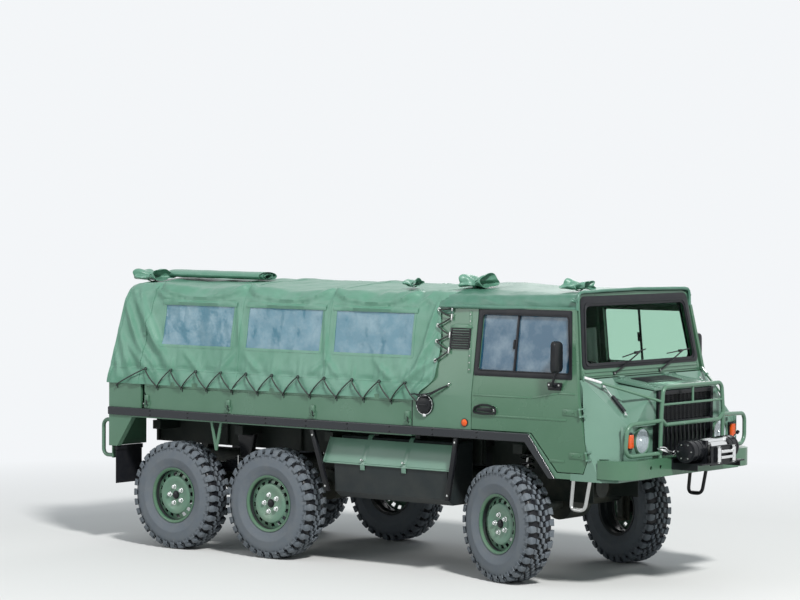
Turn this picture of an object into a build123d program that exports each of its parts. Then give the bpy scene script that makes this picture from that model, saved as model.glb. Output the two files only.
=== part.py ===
from build123d import *
import math
import os

# Six-wheel light military truck with a canvas canopy, in millimetres.
# It is drawn with the front axle at x = 0, +X forwards, +Y to the left, +Z up from the ground,
# and is moved along X as it is written, so that the origin is under the middle of its length.

# Overall reach from the front axle
FRONT_REACH = 1372.0
REAR_REACH = 3985.0

# Running gear
MID_AXLE = -2200.0
REAR_AXLE = -3180.0
HALF_TRACK = 760.0
TYRE_R = 424.0
TYRE_HALF_W = 117.5
LUGS = 20
NOTCH_W = 34.0
NOTCH_REACH = 62.0
NOTCH_DEEP = 15.0
TYRE_BORE_R = 206.0
BEAD_HALF_W = 91.0
FLANGE_R = 217.0
FLANGE_T = 7.0
RIM_WALL = 6.0
STEER_AT_REST = 17.8
KINGPIN_INSET = 50.0
KINGPIN_R = 12.0
SPINDLE_R = 30.0
RUN_FIT = 0.05
SEAT = 0.3
WALK = 0.5
PORTAL_RISE = 95.0
HALF_AXLE_R = 42.0
TUBE_R = 95.0
TUBE_Z = 560.0

# Body, from the ground
BODY_HALF_W = 880.0
RAIL_TOP = 1097.0
RAIL_BOTTOM = 1033.0
RAIL_T = 15.0
BED_TOP = 1097.0
BED_T = 40.0
BED_FRONT = -800.0
BED_REAR = 128.0 - REAR_REACH
SIDE_TOP = 1318.0
SIDE_T = 30.0
CREASE_Z = 1340.0
TUMBLE = 0.1464
DOOR_TOP = 1985.0
DOOR_REAR = -257.0
DOOR_T = 30.0
PANEL_GAP = 6.0
BELT_Z = 1500.0

# Canopy
CANVAS_T = 10.0
CANOPY_FRONT = -500.0
CANOPY_HEM = 1290.0
CANOPY_REAR_TOP = BED_REAR + 138.0
ROOF_Z = 2128.0

os.makedirs("parts", exist_ok=True)
SHIFT_X = (REAR_REACH - FRONT_REACH) / 2


def save(name, shape):
    """Write one sub-part, moved so that the origin is under the middle of the length."""
    solids = shape.solids() if not isinstance(shape, list) else [s for p in shape for s in p.solids()]
    moved = [Pos(SHIFT_X, 0, 0) * s for s in solids]
    export_step(Compound(children=moved) if len(moved) > 1 else moved[0], f"parts/{name}.step")
    print(name, len(moved))


def block(x0, x1, y0, y1, z0, z1):
    """A box between two corners."""
    centre = Pos((x0 + x1) / 2, (y0 + y1) / 2, (z0 + z1) / 2)
    return centre * Box(abs(x1 - x0), abs(y1 - y0), abs(z1 - z0))


def side_plate(points, y0, y1):
    """A plate whose outline is drawn in (x, z), from y0 to y1."""
    outline = make_face(Polyline([(x, 0, z) for x, z in points], close=True))
    return Pos(0, y0, 0) * extrude(outline, y1 - y0, dir=(0, 1, 0))


def cross_plate(points, x0, x1):
    """A plate whose outline is drawn in (y, z), from x0 to x1."""
    outline = make_face(Polyline([(0, y, z) for y, z in points], close=True))
    return Pos(x0, 0, 0) * extrude(outline, x1 - x0, dir=(1, 0, 0))


def flip(shape):
    """The same piece on the other side of the truck."""
    return mirror(shape, Plane.XZ)


def both(shape):
    """A piece and its mirror image."""
    return [shape, flip(shape)]


def rod(start, end, radius):
    """A round bar between two points."""
    a, b = Vector(*start), Vector(*end)
    return extrude(Plane(origin=a, z_dir=b - a) * Circle(radius), (b - a).length)


def bent(points, radius, bend):
    """A round bar along straight runs joined by arcs."""
    path = FilletPolyline(*points, radius=bend)
    return sweep(Plane(origin=path @ 0, z_dir=path % 0) * Circle(radius), path=path)


def turned(points):
    """A solid turned about the Y axis from (along, radius) points."""
    outline = make_face(Polyline([(r, u, 0) for u, r in points], close=True))
    return revolve(outline, Axis.Y)


# Wheels: table of name, axle x, side, and whether it steers
WHEELS = (
    ("front_right", 0.0, -1, True),
    ("front_left", 0.0, 1, True),
    ("mid_right", MID_AXLE, -1, False),
    ("mid_left", MID_AXLE, 1, False),
    ("rear_right", REAR_AXLE, -1, False),
    ("rear_left", REAR_AXLE, 1, False),
)
KINGPIN_Y = HALF_TRACK - KINGPIN_INSET
RIM_SEAT_R = TYRE_BORE_R - SEAT
RIM_BARREL_R = RIM_SEAT_R - RIM_WALL
WELL_R = RIM_SEAT_R - 16.0
HUB_R = 62.0
HUB_FACE = 64.0


def tyre():
    """Tyre about its own centre, along +Y outwards, out to the tips of the lugs."""
    bead = BEAD_HALF_W - SEAT
    w = TYRE_HALF_W
    half = [
        (bead, TYRE_BORE_R),
        (bead, FLANGE_R + 3),
        (w - 6, FLANGE_R + 33),
        (w, TYRE_R - 118),
        (w - 6, TYRE_R - 48),
        (w - 20, TYRE_R - 12),
        (w - 32, TYRE_R),
    ]
    carcass = turned(half + [(-u, r) for u, r in reversed(half)])
    notch = Box(NOTCH_W, NOTCH_REACH, 2 * NOTCH_DEEP)
    cuts = []
    for i in range(LUGS):
        for side, phase in ((-1, 0.0), (1, 0.5)):
            place = Pos(0, side * (w - NOTCH_REACH / 2 + 1), TYRE_R)
            cuts.append(Rot(0, 360.0 * (i + phase) / LUGS, 0) * place * notch)
    return carcass - cuts


def rim():
    """Steel wheel with a dished disc, and the hub that turns on the spindle."""
    b = BEAD_HALF_W
    f = b + FLANGE_T
    return turned([
        (f, FLANGE_R), (b, FLANGE_R), (b, RIM_SEAT_R), (30, RIM_SEAT_R), (20, WELL_R), (-40, WELL_R),
        (-52, RIM_SEAT_R), (-b, RIM_SEAT_R), (-b, FLANGE_R), (-f, FLANGE_R), (-f, RIM_BARREL_R + 5),
        (-b, RIM_BARREL_R), (-50, RIM_BARREL_R), (-38, WELL_R - RIM_WALL), (12, WELL_R - RIM_WALL),
        (26, 150), (48, 118), (44, HUB_R), (0, HUB_R), (0, SPINDLE_R + RUN_FIT),
        (40, SPINDLE_R + RUN_FIT), (40, 0), (HUB_FACE, 0), (HUB_FACE, 34), (54, HUB_R), (57, 118),
        (34, 154), (22, WELL_R - RIM_WALL), (36, RIM_BARREL_R), (b, RIM_BARREL_R), (f, RIM_BARREL_R + 5),
    ])


def placed(shape, axle_x, side, steers):
    """Put a wheel piece, drawn with +Y outwards, at its axle end."""
    if side < 0:
        shape = flip(shape)
    at_rest = Pos(axle_x, side * HALF_TRACK, TYRE_R) * shape
    if not steers:
        return at_rest
    pin = Pos(axle_x, side * KINGPIN_Y, 0)
    return pin * Rot(0, 0, -STEER_AT_REST) * pin.inverse() * at_rest


for wheel, axle_x, side, steers in WHEELS:
    save(f"tyre_{wheel}", placed(tyre(), axle_x, side, steers))
    save(f"rim_{wheel}", placed(rim(), axle_x, side, steers))


# Front knuckles: a fork on the kingpin with the spindle that carries the hub
EAR_TOP = 165.0
EAR_T = 20.0
EAR_LOW = -100.0
BOSS_R = 26.0
PLATE_OUT = -6.0
PLATE_T = 14.0
ARM_HALF_W = 55.0


def spindle_plate():
    plate = block(-ARM_HALF_W, ARM_HALF_W, PLATE_OUT - PLATE_T, PLATE_OUT, EAR_LOW, EAR_TOP)
    return plate + Pos(0, PLATE_OUT, 0) * extrude(Plane.XZ * Circle(SPINDLE_R), -(40 - WALK - PLATE_OUT))


def knuckle():
    body = spindle_plate()
    for z0 in (EAR_LOW, EAR_TOP - EAR_T):
        body += block(-34, 34, -KINGPIN_INSET - 34, PLATE_OUT - PLATE_T, z0, z0 + EAR_T)
    pin = Pos(0, -KINGPIN_INSET, EAR_LOW) * extrude(Circle(KINGPIN_R), EAR_TOP - EAR_LOW)
    return body + pin


for wheel, axle_x, side, steers in WHEELS:
    if steers:
        save(f"knuckle_{wheel}", placed(knuckle(), axle_x, side, True))


# Axle ends: bosses for the kingpins in front, and portal housings behind
def front_end():
    low = EAR_LOW + EAR_T + WALK
    high = EAR_TOP - EAR_T - WALK
    boss = Pos(0, -KINGPIN_INSET, low) * extrude(Circle(BOSS_R), high - low)
    neck = rod((0, -KINGPIN_INSET, PORTAL_RISE), (0, -KINGPIN_INSET - 60, PORTAL_RISE), 22)
    bore = Pos(0, -KINGPIN_INSET, low - 1) * extrude(Circle(KINGPIN_R + RUN_FIT), high - low + 2)
    return boss + neck - bore


def portal_housing():
    low = Pos(0, -86, 0) * extrude(Plane.XZ * Circle(78), -(86 - 20))
    high = Pos(0, -86, PORTAL_RISE) * extrude(Plane.XZ * Circle(66), -(86 - 20))
    web = block(-60, 60, -86, -20, 0, PORTAL_RISE)
    return low + high + web + spindle_plate()


AXLES = (0.0, MID_AXLE, REAR_AXLE)
AXLE_CASE_R = 120.0
axle_pieces = []
half_axle_z = TYRE_R + PORTAL_RISE
for wheel, axle_x, side, steers in WHEELS:
    end = front_end() if steers else portal_housing()
    if side < 0:
        end = flip(end)
    end = Pos(axle_x, side * HALF_TRACK, TYRE_R) * end
    reach = KINGPIN_Y - 60 if steers else HALF_TRACK - 80
    tube = rod((axle_x, side * 120, half_axle_z), (axle_x, side * reach, half_axle_z), HALF_AXLE_R)
    axle_pieces.append(end + tube)
axles = []
for i, axle_x in enumerate(AXLES):
    case = Pos(axle_x, -130, half_axle_z) * extrude(Plane.XZ * Circle(AXLE_CASE_R), -260)
    axles.append(case + axle_pieces[2 * i] + axle_pieces[2 * i + 1])
save("axles", axles)

# Backbone: one tube over the axle cases, with the outriggers that carry the body
OUTRIGGERS = ((-3560.0, 640), (-2690.0, 640), (-1780.0, 640), (-620.0, 470), (-45.0, 600))
TUBE_END = BED_REAR + 7.0
BACKBONE_Z = TUBE_Z + 95
BACKBONE_R = TUBE_R - 10
BEARER_BOTTOM = 985.0
backbone = rod((TUBE_END, 0, BACKBONE_Z), (300, 0, BACKBONE_Z), BACKBONE_R)
for axle_x in AXLES:
    backbone -= Pos(axle_x, -131, half_axle_z) * extrude(Plane.XZ * Circle(AXLE_CASE_R + SEAT), -262)
for x, half in OUTRIGGERS:
    backbone += block(x - 40, x + 40, -half, half, BEARER_BOTTOM - 70, BEARER_BOTTOM)
    backbone += block(x - 35, x + 35, -60, 60, TUBE_Z + 100, BEARER_BOTTOM - 20)
save("backbone", backbone)

# Springs: coils with dampers in front, one leaf pack a side between the two rear axles
SPRING_Y = 535.0
COIL_R = 55.0
springs = []
for side in (-1, 1):
    coil_low = half_axle_z + HALF_AXLE_R + SEAT
    coil = Pos(0, side * SPRING_Y, coil_low) * extrude(Circle(COIL_R), BEARER_BOTTOM - 70 - SEAT - coil_low)
    leaf_low = half_axle_z + HALF_AXLE_R + SEAT
    pack = side_plate([
        (REAR_AXLE - 60, leaf_low), (REAR_AXLE + 60, leaf_low), (-2690, leaf_low + 60),
        (MID_AXLE - 60, leaf_low), (MID_AXLE + 60, leaf_low), (MID_AXLE + 60, leaf_low + 18),
        (-2560, leaf_low + 105), (-2820, leaf_low + 105), (REAR_AXLE - 60, leaf_low + 18),
    ], side * SPRING_Y - 38, side * SPRING_Y + 38)
    bracket = side_plate([
        (-2720, leaf_low + 105), (-2660, leaf_low + 105), (-2600, BEARER_BOTTOM - 70 - SEAT),
        (-2780, BEARER_BOTTOM - 70 - SEAT),
    ], side * SPRING_Y - 20, side * SPRING_Y + 20)
    springs += [coil, pack + bracket]
save("springs", springs)

# Engine, as one plain block between the seats, on the front end of the backbone, and its radiator
BAY_HALF_W = 372.0
engine = block(60, 560, -210, 210, BACKBONE_Z + BACKBONE_R + SEAT, 1240)
radiator = block(880, 940, -BAY_HALF_W + SEAT, BAY_HALF_W - SEAT, 930, 1390)
save("engine_block", [engine, radiator])

# Cargo bed, with lashing brackets of bent flat bar under its sides
LASHINGS = (-2730.0,)
LASHING_LOW = 805.0
LASHING_REACH = 60.0


def lashing(x):
    """A V of flat bar that hangs from the bed's side."""
    top = RAIL_BOTTOM - 10
    y = 16 - BODY_HALF_W
    inner_reach = LASHING_REACH - 22
    outer = side_plate([
        (x - LASHING_REACH, top), (x + LASHING_REACH, top), (x + 10, LASHING_LOW), (x - 10, LASHING_LOW),
    ], y, y + 10)
    inner = side_plate([
        (x - inner_reach, top + 1), (x + inner_reach, top + 1), (x, LASHING_LOW + 60),
    ], y - 1, y + 11)
    return outer - inner


bed = block(BED_REAR, BED_FRONT, -BODY_HALF_W, BODY_HALF_W, BED_TOP - BED_T, BED_TOP)
for side in (-1, 1):
    y0, y1 = sorted((side * BODY_HALF_W, side * (BODY_HALF_W - 50)))
    bed += block(BED_REAR, BED_FRONT, y0, y1, RAIL_BOTTOM - 10, BED_TOP - BED_T)
for x in LASHINGS:
    for piece in both(lashing(x)):
        bed += piece
for y in (-330, 330):
    bed += block(BED_REAR + 40, BED_FRONT, y - 30, y + 30, BEARER_BOTTOM + SEAT, BED_TOP - BED_T)

# Hinges: ears and a pin on the fixed side, a barrel between them on the moving side
PIN_R = 5.0
BARREL_R = 9.0
BARREL_HALF = 20.0
EAR_LEN = 12.0


def hinge(place, fixed_leaf, moving_leaf):
    """Fixed and moving halves along local Z; each leaf is a box of (x0, x1, y0, y1)."""
    fixed = Pos(0, 0, -BARREL_HALF - EAR_LEN) * extrude(Circle(PIN_R), 2 * (BARREL_HALF + EAR_LEN))
    for z0 in (-BARREL_HALF - EAR_LEN, BARREL_HALF + WALK):
        ear = Pos(0, 0, z0) * extrude(Circle(BARREL_R), EAR_LEN - WALK)
        fixed += ear + block(*fixed_leaf, z0, z0 + EAR_LEN - WALK)
    moving = Pos(0, 0, -BARREL_HALF) * extrude(Circle(BARREL_R), 2 * BARREL_HALF)
    moving = moving + block(*moving_leaf, -BARREL_HALF, BARREL_HALF)
    moving -= Pos(0, 0, -BARREL_HALF - 1) * extrude(Circle(PIN_R + RUN_FIT), 2 * BARREL_HALF + 2)
    return place * fixed, place * moving


# Sides: drop sides, fixed corner panels, and the tailgate between them
SIDE_FRONT = -800.0
SIDE_REAR = BED_REAR + 387.0
CORNER_FRONT = SIDE_REAR - 42.0
BRACKETS = (-3440.0, -2587.0, -1740.0, -834.0)


def drop_side():
    y = BODY_HALF_W
    panel = block(SIDE_REAR, SIDE_FRONT, -y, -y + SIDE_T, BED_TOP, SIDE_TOP)
    panel -= block(SIDE_REAR + 30, SIDE_FRONT - 30, -y - 1, -y + 4, 1268, 1274)
    for x in BRACKETS:
        panel += block(x - 28, x + 28, -y - 7, -y, BED_TOP + 8, 1150)
        panel += block(x - 9, x + 9, -y - 13, -y - 7, BED_TOP + 14, 1138)
    return panel


def corner():
    y = BODY_HALF_W
    upper = block(BED_REAR, CORNER_FRONT, -y, -y + SIDE_T, BED_TOP, SIDE_TOP)
    post = block(BED_REAR, BED_REAR + 60, -y, -y + 90, BED_TOP, SIDE_TOP)
    top = RAIL_BOTTOM - 10
    lower = side_plate([
        (BED_REAR, top), (BED_REAR + 252, top), (BED_REAR + 89, 782), (BED_REAR, 782),
    ], -y, -y + 50)
    skirt = block(BED_REAR, BED_REAR + 40, -y, -480, 782, RAIL_BOTTOM - 10)
    hanger = block(BED_REAR, BED_REAR + 12, -y + 35, -y + 75, 680, 790)
    return [upper + post, lower + skirt + hanger]


save("drop_sides", both(drop_side()))
save("corner_panels", [s for piece in corner() for s in both(piece)])

TAIL_HALF_W = BODY_HALF_W - 96.0
TAIL_HINGE = (BED_REAR - 11.0, BED_TOP + 9.0)
tailgate = block(BED_REAR + 4, BED_REAR + 34, -TAIL_HALF_W, TAIL_HALF_W, BED_TOP + PANEL_GAP, SIDE_TOP - 4)
for y in (-520, 520):
    place = Plane(origin=(TAIL_HINGE[0], y, TAIL_HINGE[1]), x_dir=(1, 0, 0), z_dir=(0, 1, 0))
    fixed, moving = hinge(place, (-BARREL_R, 14, 0, 40), (-BARREL_R, 16, -36, 0))
    bed += fixed
    tailgate += moving
save("cargo_bed", bed)
save("tailgate", tailgate)

# Panel between cargo side and door, with the pillar behind the door
PILLAR_FRONT = DOOR_REAR - PANEL_GAP
PILLAR_REAR = -490.0
PILLAR_LAP = -600.0
PILLAR_LAP_TOP = 1940.0
LOUVRE = (-488.0, -314.0, 1680.0, 1830.0)
LOUVRE_SLOTS = 6
LOUVRE_PROUD = 7.0
FILLER_X = -675.0
FILLER_Z = 1259.0
FILLER_R = 75.0


def slope_y(z):
    """Half width of the outer skin at a height above the crease."""
    return BODY_HALF_W - TUMBLE * max(0.0, z - CREASE_Z)


def upper_skin(x0, x1, z0, z1, thick):
    """A leaning side wall between two heights, right-hand side."""
    return cross_plate([
        (-slope_y(z0), z0), (-slope_y(z1), z1), (-slope_y(z1) + thick, z1), (-slope_y(z0) + thick, z0),
    ], x0, x1)


def side_panel():
    y = BODY_HALF_W
    low = block(SIDE_FRONT + 4, PILLAR_FRONT, -y, -y + SIDE_T, BED_TOP + SEAT, CREASE_Z)
    mid = upper_skin(SIDE_FRONT + 4, PILLAR_FRONT, CREASE_Z, BELT_Z - 30, SIDE_T)
    pillar = upper_skin(PILLAR_REAR, PILLAR_FRONT, BELT_Z - 30, DOOR_TOP - 6, 42)
    lap = upper_skin(PILLAR_LAP, PILLAR_REAR, BELT_Z - 30, PILLAR_LAP_TOP, SIDE_T)
    return low + mid + pillar + lap + louvre()


def louvre():
    """Air outlet behind the door: a shallow box with level slots."""
    x0, x1, z0, z1 = LOUVRE
    box = Pos(0, -LOUVRE_PROUD, 0) * upper_skin(x0, x1, z0, z1, LOUVRE_PROUD + 2)
    outside = Pos(0, -LOUVRE_PROUD - 1, 0)
    pitch = (z1 - z0 - 20) / LOUVRE_SLOTS
    for i in range(LOUVRE_SLOTS):
        z = z0 + 10 + pitch * (i + 0.25)
        box -= outside * upper_skin(x0 + 14, x1 - 14, z, z + pitch * 0.5, LOUVRE_PROUD - 1)
    return box


def filler_cap():
    """Fuel filler cap on the right side, below the corner of the canvas."""
    face = Plane(origin=(FILLER_X, -BODY_HALF_W, FILLER_Z), z_dir=(0, -1, 0))
    knob = Pos(0, 0, 12) * extrude(Circle(FILLER_R - 15), 16, taper=10)
    return face * (extrude(Circle(FILLER_R), 12) + knob)


FLOOR_Z = 1040.0
FLOOR_T = 30.0
FOOT_Z = 810.0
FIREWALL = 610.0

save("side_panels", [side_panel() + filler_cap(), flip(side_panel())])

# Cab tub: floor over the front wheels, foot wells, tunnel over the engine, bulkhead and firewall
CAB_HALF_W = BODY_HALF_W - DOOR_T - 8
TUNNEL_HALF_W = 250.0
TUNNEL_T = 25.0
TUNNEL_TOP = 1290.0


def cab_wall(x0, x1, z0, z1):
    """A cross wall that follows the inside of the doors."""
    low, high = CAB_HALF_W, slope_y(z1) - DOOR_T - 8
    return cross_plate([
        (-low, z0), (-low, CREASE_Z - 10), (-high, z1), (high, z1), (low, CREASE_Z - 10), (low, z0),
    ], x0, x1)


def cab_tub():
    w = CAB_HALF_W
    floor = block(SIDE_FRONT + 4, 230, -w, w, FLOOR_Z, FLOOR_Z + FLOOR_T)
    floor_top = FLOOR_Z + FLOOR_T
    foot_top = FOOT_Z + FLOOR_T
    slope = side_plate([
        (230, floor_top), (252, floor_top), (462, foot_top), (462, FOOT_Z), (440, FOOT_Z), (230, FLOOR_Z),
    ], -w, w)
    foot = block(440, FIREWALL, -w, w, FOOT_Z, foot_top)
    front_wall = cab_wall(FIREWALL - 20, FIREWALL, FOOT_Z, 1470)
    tub = floor + slope + foot + front_wall + cab_wall(-330, -305, FLOOR_Z, 1460)
    inner = TUNNEL_HALF_W - TUNNEL_T
    tunnel = block(20, FIREWALL - 20, -TUNNEL_HALF_W, TUNNEL_HALF_W, FOOT_Z, TUNNEL_TOP)
    hollow = block(20 + TUNNEL_T, FIREWALL + 1, -inner, inner, 700, TUNNEL_TOP - TUNNEL_T)
    tub = tub + tunnel - hollow - block(20, 45, -inner, inner, 700, FLOOR_Z)
    line = [
        (SIDE_FRONT + 4, RAIL_TOP), (262, RAIL_TOP), (492, 830), (FIREWALL, 830), (FIREWALL, 790),
        (455, 790), (225, FLOOR_Z), (SIDE_FRONT + 4, FLOOR_Z),
    ]
    sill = side_plate(line, -BODY_HALF_W, -w)
    tub += sill
    tub += flip(sill)
    for y in (-330, 330):
        tub += block(SIDE_FRONT + 40, 60, y - 30, y + 30, BEARER_BOTTOM + SEAT, FLOOR_Z)
    return tub


save("cab_tub", cab_tub())


# Rub rails along the body and round the front wheel arch
def rub_rail():
    y = BODY_HALF_W
    return side_plate([
        (BED_REAR, RAIL_TOP), (250, RAIL_TOP), (486, 786), (432, 786), (222, RAIL_BOTTOM),
        (BED_REAR, RAIL_BOTTOM),
    ], -y - RAIL_T, -y)


save("rub_rails", both(rub_rail()))

# Doors: lower panel, and a leaning window frame above the crease
WINDOW = [(-215, 1530), (-215, 1940), (535, 1940), (588, 1530)]
DOOR_PIN_LOW = Vector(757.0, -BODY_HALF_W - 12, 930.0)
DOOR_PIN_DIR = Vector(-72.0, 0, 376.0).normalized()
DOOR_PIN_HEIGHTS = (30.0, 340.0)


def door_hinges():
    """The two hinges of the right door, on an axis that leans with the door's front edge."""
    pairs = []
    for along in DOOR_PIN_HEIGHTS:
        at = DOOR_PIN_LOW + DOOR_PIN_DIR * along
        place = Plane(origin=at, x_dir=(DOOR_PIN_DIR.Z, 0, -DOOR_PIN_DIR.X), z_dir=DOOR_PIN_DIR)
        pairs.append(hinge(place, (0, 36, 2, 30), (-46, 0, 5, 13)))
    return pairs


def door():
    y = BODY_HALF_W
    low = side_plate([
        (DOOR_REAR, RAIL_TOP + PANEL_GAP), (272, RAIL_TOP + PANEL_GAP), (500, 838), (716, 838), (752, 930),
        (680, 1306), (672, CREASE_Z), (DOOR_REAR, CREASE_Z),
    ], -y, -y + DOOR_T)
    frame = upper_skin(DOOR_REAR, 700, CREASE_Z, DOOR_TOP, DOOR_T)
    ahead = [(672, CREASE_Z), (574, DOOR_TOP), (574, 2100), (800, 2100), (800, CREASE_Z)]
    frame -= side_plate(ahead, -1000, 0)
    frame -= side_plate(WINDOW, -1000, 0)
    panel = low + frame
    for fixed, moving in door_hinges():
        panel += moving
    return panel


def door_glass():
    """Two sliding panes in the window frame."""
    low, high = 1530 + SEAT, 1940 - SEAT
    inset = [(-215 + SEAT, low), (-215 + SEAT, high), (535 - SEAT, high), (588 - 2 * SEAT, low)]
    thin = Pos(0, 12, 0) * upper_skin(-400, 700, CREASE_Z, DOOR_TOP, 6)
    return thin & side_plate(inset, -1000, 0)


for name, shape in (("door", door()), ("door_glass", door_glass())):
    save(name + "_right", shape)
    save(name + "_left", flip(shape))


# Mirrors on a bent tube above the front of each door
MIRROR_OUT = BODY_HALF_W + 120.0


def mirror_arm():
    x = 470.0
    skin = -slope_y(1440)
    foot = block(x - 60, x + 60, skin - 22, skin - SEAT, 1440, 1470)
    foot += block(x - 60, x + 60, skin - 22, skin - 12, 1415, 1470)
    middle = 66 - MIRROR_OUT
    arm = bent([(x, skin - 18, 1440), (x + 10, middle, 1450), (x + 60, middle, 1600)], 9, 30)
    head = block(x + 40, x + 72, -MIRROR_OUT, 132 - MIRROR_OUT, 1540, 1770)
    return arm + head + foot


save("mirror_right", mirror_arm())
save("mirror_left", flip(mirror_arm()))


# Seats and benches
SEAT_OUT = BODY_HALF_W - 160.0
SEAT_IN = 275.0


def seat():
    cushion = block(-235, 235, -SEAT_OUT, -SEAT_IN, 1190, 1300)
    base = block(-215, 200, 20 - SEAT_OUT, -SEAT_IN - 20, FLOOR_Z + FLOOR_T, 1190)
    back = side_plate([
        (-235, 1300), (-170, 1300), (-200, 1800), (-275, 1800), (-295, 1480),
    ], -SEAT_OUT, -SEAT_IN)
    return cushion + base + back


save("seats", both(seat()))


BENCH_OUT = BODY_HALF_W - 90.0


def bench():
    squab = block(BED_REAR + 217, -880, -BENCH_OUT, -420, 1400, 1440)
    for x in (BED_REAR + 297, -2700, -1800, -960):
        squab += block(x - 15, x + 15, 10 - BENCH_OUT, -440, BED_TOP, 1400)
    return squab


save("benches", both(bench()))

# Dashboard with the steering column, and the wheel on its end, on the right-hand side
dash_back = FIREWALL - 20 - SEAT
dash_half = BODY_HALF_W - 140
dash = side_plate([
    (dash_back, 1470), (dash_back, TUNNEL_TOP + SEAT), (470, 1320), (440, 1400), (480, 1470),
], -dash_half, dash_half)
wheel_plane = Plane(origin=(330, -450, 1500), z_dir=(-0.5, 0, 0.86))
COLUMN_R = 20.0
COLUMN_TOP = -20.0
column = wheel_plane * Pos(0, 0, -290) * extrude(Circle(COLUMN_R), 290 + COLUMN_TOP)
bracket = block(400, 480, -478, -422, 1350, 1400)
save("dashboard", dash + column + bracket)
ring = revolve(Plane.XZ * Pos(190, 0) * Circle(14), Axis.Z)
hub = Pos(0, 0, COLUMN_TOP + SEAT) * extrude(Circle(38), 30)
spokes = Box(370, 26, 8) + Rot(0, 0, 90) * Box(370, 26, 8)
save("steering_wheel", wheel_plane * (ring + hub + spokes))


# Canopy: hoops, canvas shell with its windows cut, and clear panes
def canopy_outline(inset):
    """Half section of the canopy in (y, z), moved inwards by an inset."""
    low_y = -BODY_HALF_W - CANVAS_T - SEAT
    pts = [(low_y, CANOPY_HEM), (low_y, 1345), (-slope_y(1960) - 12, 1960), (145 - BODY_HALF_W, ROOF_Z - 73),
           (320 - BODY_HALF_W, ROOF_Z - 40), (0, ROOF_Z)]
    return [(y + inset * 0.99 if y < 0 else y, z - (inset * 0.99 if z > 2000 else 0)) for y, z in pts]


def canopy_block(inset, x0, x1):
    half = canopy_outline(inset)
    return cross_plate(half + [(-y, z) for y, z in reversed(half[:-1])], x0, x1)


REAR_LEAN = (CANOPY_REAR_TOP - BED_REAR) / (2110.0 - SIDE_TOP)


def rear_cut(shape, inset):
    """Cut the back end so that it leans forwards going up."""
    z0, z1 = 1200.0, 2200.0
    x0 = BED_REAR - CANVAS_T - 2 * SEAT + inset + REAR_LEAN * (z0 - SIDE_TOP)
    x1 = BED_REAR - CANVAS_T - 2 * SEAT + inset + REAR_LEAN * (z1 - SIDE_TOP)
    return shape - side_plate([(x0, z0), (x1, z1), (x0 - 600, z1), (x0 - 600, z0)], -1100, 1100)


CANOPY_EDGE = [
    (-745, 1200), (-745, 1350), (-610, 1500), (-566, 1665), (-580, PILLAR_LAP_TOP),
    (-400, PILLAR_LAP_TOP), (-400, 1200),
]
WINDOWS = (("rear", -3320, -2590), ("middle", -2450, -1703), ("front", -1585, -830))
WINDOW_LOW = 1605.0
WINDOW_HIGH = 1940.0
outer = rear_cut(canopy_block(0, -4000, CANOPY_FRONT), 0)
inner = rear_cut(canopy_block(CANVAS_T, -4000, CANOPY_FRONT + 1), CANVAS_T)
inner = inner + Pos(0, 0, -100) * inner
canopy = outer - inner
canopy -= block(-4000, -3600, -620, 620, 1200, 1950)
canopy -= block(-4000, -3600, -TAIL_HALF_W - PANEL_GAP, TAIL_HALF_W + PANEL_GAP, 1200, 1330)
canopy -= side_plate(CANOPY_EDGE, -1000, 1000)
for name, x0, x1 in WINDOWS:
    canopy -= block(x0, x1, -1000, 1000, WINDOW_LOW, WINDOW_HIGH)
save("canopy", canopy)

skin = (canopy_block(2, -3400, -700) - canopy_block(4, -3401, -699))
panes = []
for name, x0, x1 in WINDOWS:
    for y0, y1 in ((-1000, -500), (500, 1000)):
        panes.append(skin & block(x0 + SEAT, x1 - SEAT, y0, y1, WINDOW_LOW + SEAT, WINDOW_HIGH - SEAT))
save("canopy_windows", panes)

HOOP_R = 14.0
HOOP_FOOT_Y = BODY_HALF_W - 62.0
hoops = []
for x in (BED_REAR + 257, -2520, -1643, -700):
    pts = canopy_outline(CANVAS_T + HOOP_R + 2)
    half = [(-HOOP_FOOT_Y, BED_TOP + SEAT), (-HOOP_FOOT_Y, SIDE_TOP)] + pts[2:-1]
    route = [(x, y, z) for y, z in half] + [(x, -y, z) for y, z in reversed(half)]
    hoops.append(bent(route, HOOP_R, 60))
save("hoops", hoops)

# Cab canopy from the pillar to the windscreen: half sections as (inwards from the side, z)
CAB_ROOF_FRONT = 575.0
CAB_ROOF_LOW = 1992.0
ROOF_BEHIND = [(84, CAB_ROOF_LOW), (100, 2020), (142, 2066), (320, 2100), (580, 2122), (BODY_HALF_W, 2136)]
ROOF_AHEAD = [(135.5, CAB_ROOF_LOW), (139, 2060), (146, 2098), (200, 2108), (580, 2114), (BODY_HALF_W, 2116)]


def roof_face(x, half, inset):
    half = [(inwards - BODY_HALF_W, z) for inwards, z in half]
    moved = [(y + inset, z - (inset if i > 1 else 0)) for i, (y, z) in enumerate(half[:-1])]
    moved = moved + [(0, half[-1][1] - inset)]
    if inset:
        moved[0] = (moved[0][0], moved[0][1] - 12)
    ring_pts = moved + [(-y, z) for y, z in reversed(moved[:-1])]
    return make_face(Polyline([(x, y, z) for y, z in ring_pts], close=True))


def roof_loft(overrun, inset):
    """Roof between its two sections, each moved outwards by an overrun."""
    behind = roof_face(CANOPY_FRONT + SEAT - overrun, ROOF_BEHIND, inset)
    ahead = roof_face(CAB_ROOF_FRONT + overrun, ROOF_AHEAD, inset)
    return loft([behind, ahead], ruled=True)


save("cab_canopy", roof_loft(0, 0) - roof_loft(1, CANVAS_T))

# Nose: wings and lamp panels round the engine bay
NOSE_FRONT = 970.0
NOSE_REAR = FIREWALL + SEAT
BONNET_HALF_W = 402.0
BONNET_REAR_Z = 1482.0
BONNET_FRONT_Z = 1431.0
BONNET_FRONT = 1018.0
NOSE_LOW = 782.0
COWL_Z = 1491.4


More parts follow.
